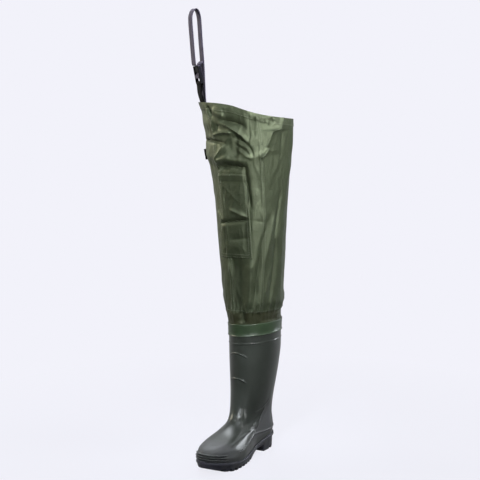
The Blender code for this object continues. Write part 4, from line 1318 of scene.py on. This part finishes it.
def flat_relief(angles, heights):
    """Cloth hangs flatter than a round leg between one edge and the next."""
    relief = np.zeros(np.broadcast(angles, heights).shape)
    radius = metres_per_degree(heights) / math.radians(1.0)
    starts = [line_angle(edge.places, heights) for edge in LEG_EDGES]
    for edge, start, end in zip(LEG_EDGES, starts, starts[1:] + [starts[0] + 360.0]):
        half = (end - start) / 2.0
        across = turned(angles - start - half) / half
        depth = edge.flatness * radius * (1.0 - np.cos(np.radians(half)))
        relief -= depth * np.clip(1.0 - across**2, 0.0, None)
    return relief


def seam_distance(seam, angles, heights):
    """Distance from a seam that runs up the leg."""
    away = np.abs(turned(angles - line_angle(seam, heights))) * metres_per_degree(heights)
    seam_heights = [height for _, height in seam]
    return np.where((heights < min(seam_heights)) | (heights > max(seam_heights)), 1.0, away)


def crumple(points, scale):
    """Sharp-edged crinkles of stiff coated cloth, from about -0.4 up to their middle."""
    found = [CRINKLE_MIDDLE - abs(noise.noise(Vector(point))) for point in (points * scale).reshape(-1, 3)]
    return np.array(found).reshape(points.shape[:-1])


def leg_relief(angles, heights, sizes):
    """Lift of the cloth over its smooth face: folds, crinkles, seams, hem and cuff."""
    relief = flat_relief(angles, heights)
    for fold in all_folds():
        relief += fold_relief(fold, angles, heights)
    base = leg_base(angles, heights)
    thigh = ease(*THIGH_EASE, heights)
    for crinkle in CRINKLES:
        relief += (crinkle.rise + crinkle.thigh_gain * thigh) * crumple(base, np.array(crinkle.scale))
    for seam in SEAMS:
        away = seam_distance(seam, angles, heights)
        relief += sizes.seam_rise * (1.0 - ease(*SEAM_EDGE_EASE, away / sizes.seam_half))
    below_rim = rim_height(angles) - heights
    relief += sizes.hem_step * (1.0 - ease(sizes.hem_width - HEM_EDGE, sizes.hem_width, below_rim))
    overhang = ease(*OVERHANG_FOOT_EASE, heights) * (1.0 - ease(*OVERHANG_TOP_EASE, heights))
    relief += (OVERHANG - OVERHANG_LEAN * np.cos(np.radians(angles))) * overhang
    outer_side = np.exp(-((turned(angles - FLARE_ANGLE) / FLARE_REACH) ** 2))
    relief += HEM_FLARE * outer_side * ease(FLARE_FOOT, RIM_MIDDLE + RIM_RISE, heights)
    return relief * ease(*RELIEF_FOOT_EASE, heights)


def leg_skin(angles, heights, sizes, lift=0.0):
    """Points on the creased cloth, lifted off it along its smooth normal."""
    relief = leg_relief(angles, heights, sizes) + lift
    return leg_base(angles, heights) + leg_normals(angles, heights) * relief[..., None]


def lay_weave(piece, across, along):
    """A woven coordinate in metres at each corner, unrolled across a loop that closes on itself."""
    layer = piece.data.uv_layers.new(name="cloth")
    count = len(piece.data.loops)
    corner = np.zeros(count, np.int64)
    piece.data.loops.foreach_get("vertex_index", corner)
    u = np.asarray(across, float).ravel()[corner]
    v = np.asarray(along, float).ravel()[corner]
    girth = float(np.max(across))
    starts = np.zeros(len(piece.data.polygons), np.int64)
    piece.data.polygons.foreach_get("loop_start", starts)
    face = np.searchsorted(starts, np.arange(count), side="right") - 1
    highest = np.zeros(len(starts))
    np.maximum.at(highest, face, u)
    u = np.where(highest[face] - u > girth / 2.0, u + girth, u)
    layer.data.foreach_set("uv", np.stack([u, v], axis=-1).astype(np.float32).ravel())


def make_leg(sizes, finish):
    turn = 360.0 * np.arange(sizes.turns) / sizes.turns
    crowded = turn + np.degrees(FRONT_CROWDING * np.sin(np.radians(turn + FRONT_ANGLE + 180.0)))
    angles = np.broadcast_to(-crowded, (sizes.rows, sizes.turns))
    bottom = BOOT_HEIGHT + GAP
    up = np.linspace(0.0, 1.0, sizes.rows)[:, None]
    up = up * (1.0 + TOP_CROWDING * (1.0 - up))
    heights = bottom + up * (rim_height(angles) - bottom)
    outer = leg_skin(angles, heights, sizes)
    kept = every(LEG_INNER_STEP, sizes.rows)
    inner = outer[kept] - leg_normals(angles, heights)[kept] * sizes.wall
    leg = tube("cloth_leg", outer, inner, finish)
    both = [np.concatenate([values.ravel(), values[kept].ravel()]) for values in (angles, heights)]
    lay_weave(leg, -both[0] * float(metres_per_degree(WEAVE_HEIGHT)), both[1])
    mark(leg, "cuff", 1.0 - ease(*CUFF_EASE, both[1]))
    # Trough depth, for the painted shade in the folds
    mark(leg, "crevice", painted_fold_shade_share(*both))
    return leg


def pocket_place(across, up):
    """Angle and height of a place on the pocket; across 0 is its front edge, up 0 its lower edge."""
    front = POCKET_FRONT[0] + (POCKET_FRONT[1] - POCKET_FRONT[0]) * up
    rear = POCKET_REAR[0] + (POCKET_REAR[1] - POCKET_REAR[0]) * up
    return front + (rear - front) * across, POCKET_LOW + POCKET_TALL * up


def make_side_pocket(sizes, finish):
    """A patch with rolled edges and a thicker hem at its mouth, lying on the creased leg."""
    up, across = np.meshgrid(
        np.linspace(0.0, 1.0, POCKET_ROWS), np.linspace(0.0, 1.0, POCKET_COLUMNS), indexing="ij"
    )
    angles, heights = pocket_place(across, up)
    edge = np.minimum(np.minimum(up, 1.0 - up) * POCKET_TALL, np.minimum(across, 1.0 - across) * POCKET_WIDE)
    lift = POCKET_EDGE + (sizes.pocket_thick - POCKET_EDGE) * ease(*POCKET_EDGE_EASE, edge)
    lift += POCKET_HEM * ease(*POCKET_HEM_EASE, up * POCKET_TALL)
    lift += POCKET_BULGE * ease(*POCKET_BULGE_EASE, edge)
    outer = leg_skin(angles, heights, sizes, lift)
    inner = leg_skin(angles, heights, sizes, POCKET_UNDER)
    number = np.arange(up.size).reshape(up.shape)
    border = np.concatenate([number[0, :-1], number[:-1, -1], number[-1, :0:-1], number[:0:-1, 0]])
    faces = np.concatenate([
        grid_faces(0, *up.shape, False, False),
        grid_faces(up.size, *up.shape, False, True),
        ring_faces(border, border + up.size),
    ])
    points = np.concatenate([outer.reshape(-1, 3), inner.reshape(-1, 3)])
    pocket = new_piece("patch_pocket", points, faces, finish)
    lay_weave(pocket, np.tile((across * POCKET_WIDE).ravel(), 2), np.tile(heights.ravel(), 2))
    mark(pocket, "cuff", np.zeros(2 * up.size))
    # Trough depth, for the painted shade in the folds
    mark(pocket, "crevice", np.tile(painted_fold_shade_share(angles, heights).ravel(), 2))
    return pocket


# Sewing


def along_line(values, lengths, places):
    """Points or normals of a line at places along it."""
    return np.stack([np.interp(places, lengths, values[:, i]) for i in range(3)], axis=-1)


def stitch_parts(line, normals, sizes):
    """Points and faces of a row of stitches along a line that lies on the cloth."""
    lengths = lengths_along(line)
    places = np.arange(sizes.stitch_pitch / 2.0, lengths[-1], sizes.stitch_pitch)
    middle = along_line(line, lengths, places)
    along = unit(along_line(line, lengths, places + STITCH_AHEAD) - middle)
    up = unit(along_line(normals, lengths, places))
    side = np.cross(along, up)
    points = []
    for reach, swell in STITCH_RINGS:
        out = sizes.stitch_radius * swell
        sunk = out - sizes.stitch_radius
        for k in range(STITCH_SIDES):
            turn = 2.0 * math.pi * k / STITCH_SIDES
            across = side * out * math.cos(turn) + up * (out * math.sin(turn) + sunk)
            points.append(middle + along * reach * sizes.stitch_length + across)
    points = np.stack(points, axis=1)
    stitch = rod_faces(len(STITCH_RINGS), STITCH_SIDES)
    step = points.shape[1]
    faces = [[corner + step * i for corner in face] for i in range(len(middle)) for face in stitch]
    return points.reshape(-1, 3), faces


def make_stitches(name, rows, sizes, finish):
    """One piece from many rows of stitches, each given by angles, heights and lift off the cloth."""
    points, faces, first = [], [], 0
    for angles, heights, lift in rows:
        line = leg_skin(angles, heights, sizes, lift)
        more, corners = stitch_parts(line, leg_normals(angles, heights), sizes)
        points.append(more)
        faces += [[c + first for c in face] for face in corners]
        first += len(more)
    return new_piece(name, np.concatenate(points), faces, finish)


def seam_rows(sizes):
    """Two rows of stitches along each seam, one below the hem and one along the cuff."""
    lift = sizes.stitch_radius * STITCH_LIFT
    for seam in SEAMS:
        seam_heights = [height for _, height in seam]
        heights = np.linspace(min(seam_heights), max(seam_heights), SEAM_POINTS)
        for side in (-1.0, 1.0):
            aside = side * sizes.seam_half * SEAM_ASIDE / metres_per_degree(heights)
            yield line_angle(seam, heights) + aside, heights, lift
    angles = np.linspace(0.0, 360.0, 4 * SEAM_POINTS)
    yield angles, rim_height(angles) - sizes.hem_width + HEM_STITCH, lift
    yield angles, np.full(len(angles), CUFF_TOP + CUFF_STITCH), lift


def pocket_rows(sizes):
    """Double rows round the pocket's sides and foot, and one across its mouth."""
    lift = sizes.pocket_thick + sizes.stitch_radius * POCKET_STITCH_LIFT
    share = np.linspace(0.0, 1.0, POCKET_STITCH_POINTS)
    for inset in POCKET_INSETS:
        side, foot = inset / POCKET_WIDE, inset / POCKET_TALL
        for across in (side, 1.0 - side):
            yield (*pocket_place(np.full(len(share), across), foot + share * (1.0 - 2.0 * foot)), lift)
        yield (*pocket_place(side + share * (1.0 - 2.0 * side), np.full(len(share), foot)), lift)
    mouth = 1.0 - POCKET_INSETS[0] / POCKET_TALL
    yield (*pocket_place(share, np.full(len(share), mouth)), lift + POCKET_HEM)


def make_joint_band(sizes, colours):
    """The tape lies on the boot's collar below the joint and on the leg's end above it."""
    turns = np.arange(BAND_TURNS) / BAND_TURNS
    angles = OUTER_ANGLE - 360.0 * turns
    outer, inner = [], []
    for height, rise in BAND_PROFILE:
        levels = height + band_rise(angles)
        if height <= BOOT_HEIGHT:
            base = boot_loop(collar_place(height), turns)
            base[:, 2] = levels
        else:
            base = leg_base(angles, levels)
        out = base - base.mean(axis=0)
        out[:, 2] = 0.0
        out = unit(out)
        sway = 1.0 + BAND_SWAY * np.sin(np.radians(BAND_WAVES * angles) + BAND_WAVE_SLANT * height)
        outer.append(base + out * (2.0 * GAP + sizes.band_wall * rise * sway)[:, None])
        inner.append(base + out * 2.0 * GAP)
    joint = column(BAND_PROFILE, "height").index(BOOT_HEIGHT)
    lining = np.stack([inner[0], inner[joint], inner[-1]])
    return tube("joint_tape", np.stack(outer), lining, tape_finish(colours))


# Strap, buckle and tab


def outer_direction(ahead):
    """Unit vector out of the leg, turned ahead from its outer side towards the toe, in degrees."""
    angle = math.radians(OUTER_ANGLE - ahead)
    return Vector((math.sin(angle), math.cos(angle), 0.0))


def strap_frame(cloth):
    """Matrix from (outward, along the hem, up) at the strap to the wader's axes."""
    at = np.array([STRAP_AHEAD])
    rim = leg_base(at, rim_height(at))[0]
    out = outer_direction(STRAP_TURN)
    side = Vector((0.0, 0.0, 1.0)).cross(out)
    placed = Matrix((out, side, (0.0, 0.0, 1.0))).transposed().to_4x4()
    placed.translation = Vector(rim) - out * cloth
    return placed


def strap_points(places, cloth):
    """Points given as (outward, along the hem, up) at the strap, which turns to the front above the hem."""
    places = np.asarray(places, float)
    twist = STRAP_TWIST * ease(*STRAP_TWIST_EASE, places[..., 2])
    out = places[..., 0] * np.cos(twist) - places[..., 1] * np.sin(twist)
    side = places[..., 0] * np.sin(twist) + places[..., 1] * np.cos(twist)
    placed = strap_frame(cloth)
    turned_places = np.stack([out, side, places[..., 2]], axis=-1)
    return turned_places @ np.array(placed.to_3x3()).T + np.array(placed.translation)


def bar_clear(sizes):
    """Distance of the webbing's middle line from the middle of a buckle bar."""
    return sizes.buckle_bar * BAR_ROUND + sizes.thick / 2.0 + 1.5 * GAP


def buckle_point(out, up):
    """A point of the buckle's own section, (outward from its middle plane, up from its middle)."""
    c, s = math.cos(BUCKLE_LEAN), math.sin(BUCKLE_LEAN)
    return BUCKLE_MIDDLE[0] + out * c + up * s, BUCKLE_MIDDLE[1] - out * s + up * c


def bar_edges(sizes):
    """Lower and upper edge of the buckle's lower bar, middle bar and top plate in its own section."""
    half = sizes.buckle_length / 2.0
    plate = half - sizes.buckle_plate
    middle = plate - sizes.buckle_slot
    return (-half, sizes.buckle_bar - half), (middle - sizes.buckle_bar, middle), (plate, half)


def ribbon(name, line, width, thick, cloth, finish):
    """A strap with round edges whose middle line lies in the strap's plane."""
    along = unit(np.gradient(line, axis=0))
    across = np.stack([along[:, 1], -along[:, 0]], axis=-1)
    half_w, half_t = width / 2.0, thick / 2.0
    edge = [(inset - half_w, rise) for inset, rise in WEB_EDGE] + [(-half_w / 2.0, 1.0)]
    face = edge + [(0.0, 1.0)] + [(-side, rise) for side, rise in reversed(edge)]
    section = face + [(side, -rise) for side, rise in reversed(face[1:-1])]
    rows = []
    for side, rise in section:
        moved = line + across * rise * half_t
        rows.append(np.stack([moved[:, 0], np.full(len(line), side), moved[:, 1]], axis=-1))
    count = len(section)
    points = strap_points(np.stack(rows, axis=1).reshape(-1, 3), cloth)
    strap = new_piece(name, points, rod_faces(len(line), count), finish)
    sides = [side + half_w for side, _ in section]
    lay_weave(strap, np.tile(sides, len(line)), np.repeat(lengths_along(line), count))
    return strap


def make_belt_strap(sizes, cloth, finish):
    """Up inside the hem, over the loop, down behind the buckle's plate, round its middle bar and up again."""
    _, (bar_low, bar_high), (plate_low, plate_high) = bar_edges(sizes)
    middle = (bar_low + bar_high) / 2.0
    clear = bar_clear(sizes)
    corner = clear * BAR_CORNER
    sides = {
        "behind": -clear, "behind_corner": -corner, "within": 0.0, "front_corner": corner, "front": clear,
        "tail": -clear - sizes.thick - 2.0 * GAP,
    }
    levels = {
        "plate_top": plate_high, "plate_foot": plate_low, "slot": (plate_low + bar_high) / 2.0,
        "bar": middle, "bar_corner": middle - clear * BAR_BEND, "bar_foot": middle - clear,
    }
    weave = [buckle_point(sides[step.side] + step.out, levels[step.level] + step.up) for step in STRAP_WEAVE]
    loop = curve_through(list(STRAP_ROUTE) + weave[:1], STRAP_SPACING)
    line = np.concatenate([loop, curve_through(weave, WEAVE_SPACING)[1:]])
    return ribbon("belt_webbing", line, sizes.width, sizes.thick, cloth, finish)


def make_buckle_web(sizes, cloth, finish):
    """Webbing from inside the hem, up round the buckle's lower bar and back down on itself."""
    lower = sum(bar_edges(sizes)[0]) / 2.0
    clear = bar_clear(sizes)
    corner = clear * BAR_CORNER
    rise = [(clear * 0.9, lower - WEB_FOOT), (clear, lower), (corner, lower + corner)]
    eye = rise + [(0.0, lower + clear)] + [(-out, up) for out, up in reversed(rise)]
    back = [(out - sizes.thick - GAP, up) for out, up in reversed(WEB_ROOT[1:])]
    line = curve_through(list(WEB_ROOT) + [buckle_point(*place) for place in eye] + back, WEB_SPACING)
    return ribbon("anchor_webbing", line, sizes.width - WEB_NARROWER, sizes.thick, cloth, finish)


def make_strap_buckle(sizes, cloth, colours):
    """A rounded frame with two slots: deep side rails, two bars and a top plate, thinner than the rails."""
    half = sizes.buckle_width / 2.0
    rail = half - sizes.buckle_rail
    near = [
        (-half, sizes.buckle_depth * BUCKLE_TAPER), (-rail, sizes.buckle_depth),
        (BUCKLE_STEP - rail, sizes.buckle_bar),
    ]
    columns = near + [(0.0, sizes.buckle_bar)] + [(-side, depth) for side, depth in reversed(near)]
    rows = [edge for edges in bar_edges(sizes) for edge in edges]
    points, number = [], {}
    for i, (side, depth) in enumerate(columns):
        for j, up in enumerate(rows):
            for k, out in enumerate((-depth / 2.0, depth / 2.0)):
                section = buckle_point(out, up)
                number[i, j, k] = len(points)
                points.append((section[0], side, section[1]))
    last_column, last_row = len(columns) - 2, len(rows) - 2

    def solid(i, j):
        inside = 0 <= i <= last_column and 0 <= j <= last_row
        return inside and (i in (0, last_column) or j % 2 == 0)

    faces = []
    for i in range(last_column + 1):
        for j in range(last_row + 1):
            if not solid(i, j):
                continue
            cell = ((i, j), (i + 1, j), (i + 1, j + 1), (i, j + 1))
            faces += [[number[a, b, k] for a, b in cell] for k in (0, 1)]
            sides = (((i - 1, j), cell[0], cell[3]), ((i + 1, j), cell[1], cell[2]),
                     ((i, j - 1), cell[0], cell[1]), ((i, j + 1), cell[3], cell[2]))
            for neighbour, first, second in sides:
                if not solid(*neighbour):
                    wall = ((*first, 0), (*second, 0), (*second, 1), (*first, 1))
                    faces.append([number[place] for place in wall])
    buckle = new_piece("slide_buckle", strap_points(points, cloth), faces, buckle_finish(colours))
    soften_edges(buckle, BUCKLE_SOFT_EDGE, segments=3, turn=35.0)
    apply_modifiers(buckle)
    buckle.data.shade_smooth()
    return buckle


def make_side_tab(sizes, finish):
    """A short piece of webbing folded double, its fold standing out of the leg's outer side."""
    at = np.array([TAB_BEHIND])
    low, middle, high = (
        Vector(leg_base(at, np.array([TAB_HEIGHT + sizes.tab_tall * share]))[0]) for share in (-0.5, 0.0, 0.5)
    )
    up = (high - low).normalized()
    side = up.cross(outer_direction(TAB_BEHIND)).normalized()
    out = side.cross(up)
    half = sizes.tab_thick / 2.0
    root = 4.0 * GAP
    end = sizes.tab_reach + root - half
    bends = np.linspace(TAB_ROUND_START, math.pi - TAB_ROUND_START, TAB_ROUND_POINTS)
    outline = [(root, -half), (end, -half)]
    outline += [(end + half * math.sin(bend), -half * math.cos(bend)) for bend in bends]
    outline += [(end, half), (root, half), (root, TAB_SLIT_ROOT * half), (end, TAB_SLIT_END * half)]
    outline += [(end, -TAB_SLIT_END * half), (root, -TAB_SLIT_ROOT * half)]
    levels = np.linspace(-0.5, 0.5, TAB_LEVELS) * sizes.tab_tall
    grid = np.array([[middle + out * o + side * s + up * level for o, s in outline] for level in levels])
    count = len(outline)
    tab = new_piece("side_tab_webbing", grid, rod_faces(len(levels), count), finish)
    around = lengths_along(np.array(outline))
    lay_weave(tab, np.tile(around, len(levels)), np.repeat(levels, count))
    return tab


# Stage


def make_camera(stage):
    data = bpy.data.cameras.new("camera")
    data.sensor_width = SENSOR
    data.lens = SENSOR * stage.focal / FRAME_PIXELS
    data.shift_x = -stage.axis_right / FRAME_PIXELS
    camera = bpy.data.objects.new("camera", data)
    camera.location = (
        stage.distance * math.sin(stage.azimuth), -stage.distance * math.cos(stage.azimuth), stage.height
    )
    camera.rotation_euler = (math.pi / 2.0 - stage.pitch, 0.0, stage.azimuth)
    bpy.context.scene.collection.objects.link(camera)
    bpy.context.scene.camera = camera


def make_floor(stage):
    """A round pale floor that takes a soft shadow near the boot and runs out into the backdrop."""
    turn = 2.0 * math.pi * np.arange(FLOOR_TURNS) / FLOOR_TURNS
    circle = np.stack([np.cos(turn), np.sin(turn), np.zeros(FLOOR_TURNS)], axis=-1)
    points = np.concatenate([radius * circle for radius in FLOOR_RINGS])
    faces = [list(face) for face in grid_faces(0, len(FLOOR_RINGS), FLOOR_TURNS, True, False)]
    faces.append(list(range(FLOOR_TURNS)))
    finish = Finish("pale_floor", stage.backdrop, roughness=0.9)
    finish.set("Specular IOR Level", 0.0)
    away = finish.add("ShaderNodeVectorMath", ((0, finish.place),), operation="LENGTH").outputs["Value"]
    near = finish.between(away, 1.0, 0.0, *FLOOR_FADE)
    lit = finish.blend(near, (0.0, 0.0, 0.0), darker(stage.backdrop, stage.floor_share))
    finish.feed("Base Color", lit)
    glow = finish.blend(near, stage.backdrop, darker(stage.backdrop, stage.floor_glow))
    finish.feed("Emission Color", glow)
    finish.set("Emission Strength", 1.0)
    floor = new_piece("floor", points, faces, finish.material)
    floor.visible_diffuse = False
    floor.visible_glossy = False
    floor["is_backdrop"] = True


def make_surroundings(stage):
    """A pale room: bright behind the wader, dim on the camera's side."""
    world = bpy.data.worlds.new("studio")
    bpy.context.scene.world = world
    world.use_nodes = True
    nodes, links = world.node_tree.nodes, world.node_tree.links
    way = nodes.new("ShaderNodeVectorMath")
    way.operation = "DOT_PRODUCT"
    links.new(nodes.new("ShaderNodeTexCoord").outputs["Generated"], way.inputs[0])
    way.inputs[1].default_value = (math.sin(stage.azimuth), -math.cos(stage.azimuth), 0.0)
    light = nodes.new("ShaderNodeMapRange")
    light.interpolation_type = "SMOOTHSTEP"
    links.new(way.outputs["Value"], light.inputs["Value"])
    ends = (*ROOM_EASE, stage.front_fill, stage.fill)
    for name, value in zip(("From Min", "From Max", "To Min", "To Max"), ends):
        light.inputs[name].default_value = value
    around = nodes["Background"]
    around.inputs["Color"].default_value = (*ROOM_COLOUR, 1.0)
    links.new(light.outputs["Result"], around.inputs["Strength"])
    shown = nodes.new("ShaderNodeBackground")
    shown.inputs["Color"].default_value = (*stage.backdrop, 1.0)
    mix = nodes.new("ShaderNodeMixShader")
    links.new(nodes.new("ShaderNodeLightPath").outputs["Is Camera Ray"], mix.inputs[0])
    links.new(around.outputs[0], mix.inputs[1])
    links.new(shown.outputs[0], mix.inputs[2])
    links.new(mix.outputs[0], nodes["World Output"].inputs["Surface"])


def make_light(lamp, azimuth):
    """A soft panel of light, its turn measured from the camera's own side to the right."""
    data = bpy.data.lights.new(lamp.name, "AREA")
    data.shape = "RECTANGLE"
    data.size = lamp.wide
    data.size_y = lamp.tall
    data.energy = lamp.power
    data.color = lamp.colour
    data.spread = math.radians(lamp.spread)
    panel = bpy.data.objects.new(lamp.name, data)
    turn = azimuth + math.radians(lamp.turn)
    panel.location = (lamp.distance * math.sin(turn), -lamp.distance * math.cos(turn), lamp.height)
    aim = Vector((0.0, 0.0, lamp.aim)) - panel.location
    panel.rotation_euler = aim.to_track_quat("-Z", "Y").to_euler()
    bpy.context.scene.collection.objects.link(panel)


def make_lights(stage):
    for lamp in LAMPS:
        make_light(lamp, stage.azimuth)
    bpy.context.scene.view_settings.view_transform = "Standard"


class WADER_OT_stage(bpy.types.Operator):
    """Set the camera, the pale floor and the studio light"""

    bl_idname = "wader.stage"
    bl_label = "Stage"

    def execute(self, context):
        stage = context.scene.wader_stage
        make_camera(stage)
        make_floor(stage)
        make_surroundings(stage)
        make_lights(stage)
        return {"FINISHED"}


class WADER_OT_boot(bpy.types.Operator):
    """Mould the boot's upper with its toe ribs, bead, arcs and quarter lines"""

    bl_idname = "wader.boot"
    bl_label = "Boot upper"

    def execute(self, context):
        boot = make_boot_upper(context.scene.wader_boot, context.scene.wader_colours)
        dress(boot, "boot_pvc", "boot_upper")
        return {"FINISHED"}


class WADER_OT_sole(bpy.types.Operator):
    """Mould the lugged sole and finish the insole"""

    bl_idname = "wader.sole"
    bl_label = "Sole and insole"

    def execute(self, context):
        colours = context.scene.wader_colours
        dress(make_outsole(colours), "sole_pvc", "outsole")
        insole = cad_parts["insole"]
        insole.data.materials.clear()
        insole.data.materials.append(felt_finish(colours))
        return {"FINISHED"}


class WADER_OT_leg(bpy.types.Operator):
    """Drape the creased leg, sew its pocket and seams, and weld its joint tape"""

    bl_idname = "wader.leg"
    bl_label = "Leg, pocket and tape"

    def execute(self, context):
        sizes, colours = context.scene.wader_leg, context.scene.wader_colours
        cloth = cloth_finish("coated_cloth", colours, 1.0)
        # The pocket gets a darker copy of the cloth: painted shade for its plane, which turns away from the
        # light
        patch = cloth_finish("pocket_cloth", colours, POCKET_PAINTED_SHADE)
        thread = thread_finish(colours)
        leg = dress(make_leg(sizes, cloth), "coated_nylon", "leg")
        pocket = dress(make_side_pocket(sizes, patch), "coated_nylon", "side_pocket")
        dress(make_stitches("seam_stitches", seam_rows(sizes), sizes, thread))
        dress(make_stitches("pocket_stitches", pocket_rows(sizes), sizes, thread))
        band = dress(make_joint_band(sizes, colours), "joint_tape", "joint_band")
        return {"FINISHED"}


class WADER_OT_strap(bpy.types.Operator):
    """Lay the belt strap through its buckle, with the anchor webbing and the side tab"""

    bl_idname = "wader.strap"
    bl_label = "Strap, buckle and tab"

    def execute(self, context):
        sizes, colours = context.scene.wader_strap, context.scene.wader_colours
        cloth = context.scene.wader_leg.wall
        grey = webbing_finish("grey_webbing", colours.grey_web, 0.1)
        black = webbing_finish("black_webbing", colours.black_web, 0.0)
        dress(make_belt_strap(sizes, cloth, grey), "grey_webbing", "belt_strap")
        dress(make_buckle_web(sizes, cloth, black), "black_webbing", "buckle_web")
        dress(make_strap_buckle(sizes, cloth, colours), "buckle_plastic", "strap_buckle")
        dress(make_side_tab(sizes, black), "black_webbing", "side_tab")
        return {"FINISHED"}


class WADER_PT_panel(bpy.types.Panel):
    """Lists the wader's pieces and sizes in the sidebar"""

    bl_label = "Thigh Wader"
    bl_idname = "WADER_PT_panel"
    bl_space_type = "VIEW_3D"
    bl_region_type = "UI"
    bl_category = "Wader"

    def draw(self, context):
        for operator in OPERATORS:
            self.layout.operator(operator.bl_idname)
        for group in SETTINGS:
            box = self.layout.box()
            settings = getattr(context.scene, group)
            for name in settings.bl_rna.properties.keys():
                if name not in ("rna_type", "name"):
                    box.prop(settings, name)


SETTINGS = {
    "wader_boot": WaderBootSizes,
    "wader_leg": WaderLegSizes,
    "wader_strap": WaderStrapSizes,
    "wader_colours": WaderColours,
    "wader_stage": WaderStage,
}
OPERATORS = (WADER_OT_stage, WADER_OT_boot, WADER_OT_sole, WADER_OT_leg, WADER_OT_strap)


def register():
    for group in (*SETTINGS.values(), *OPERATORS, WADER_PT_panel):
        bpy.utils.register_class(group)
    for name, group in SETTINGS.items():
        setattr(bpy.types.Scene, name, PointerProperty(type=group))


def unregister():
    for name in SETTINGS:
        delattr(bpy.types.Scene, name)
    for group in reversed((*SETTINGS.values(), *OPERATORS, WADER_PT_panel)):
        bpy.utils.unregister_class(group)


def main():
    register()
    bpy.ops.wader.stage()
    bpy.ops.wader.boot()
    bpy.ops.wader.sole()
    bpy.ops.wader.leg()
    bpy.ops.wader.strap()
    boxes = {"cad": CAD_BOX, "visual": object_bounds()}
    {name: [list(corner) for corner in box] for name, box in boxes.items()}


if __name__ == "__main__":
    main()
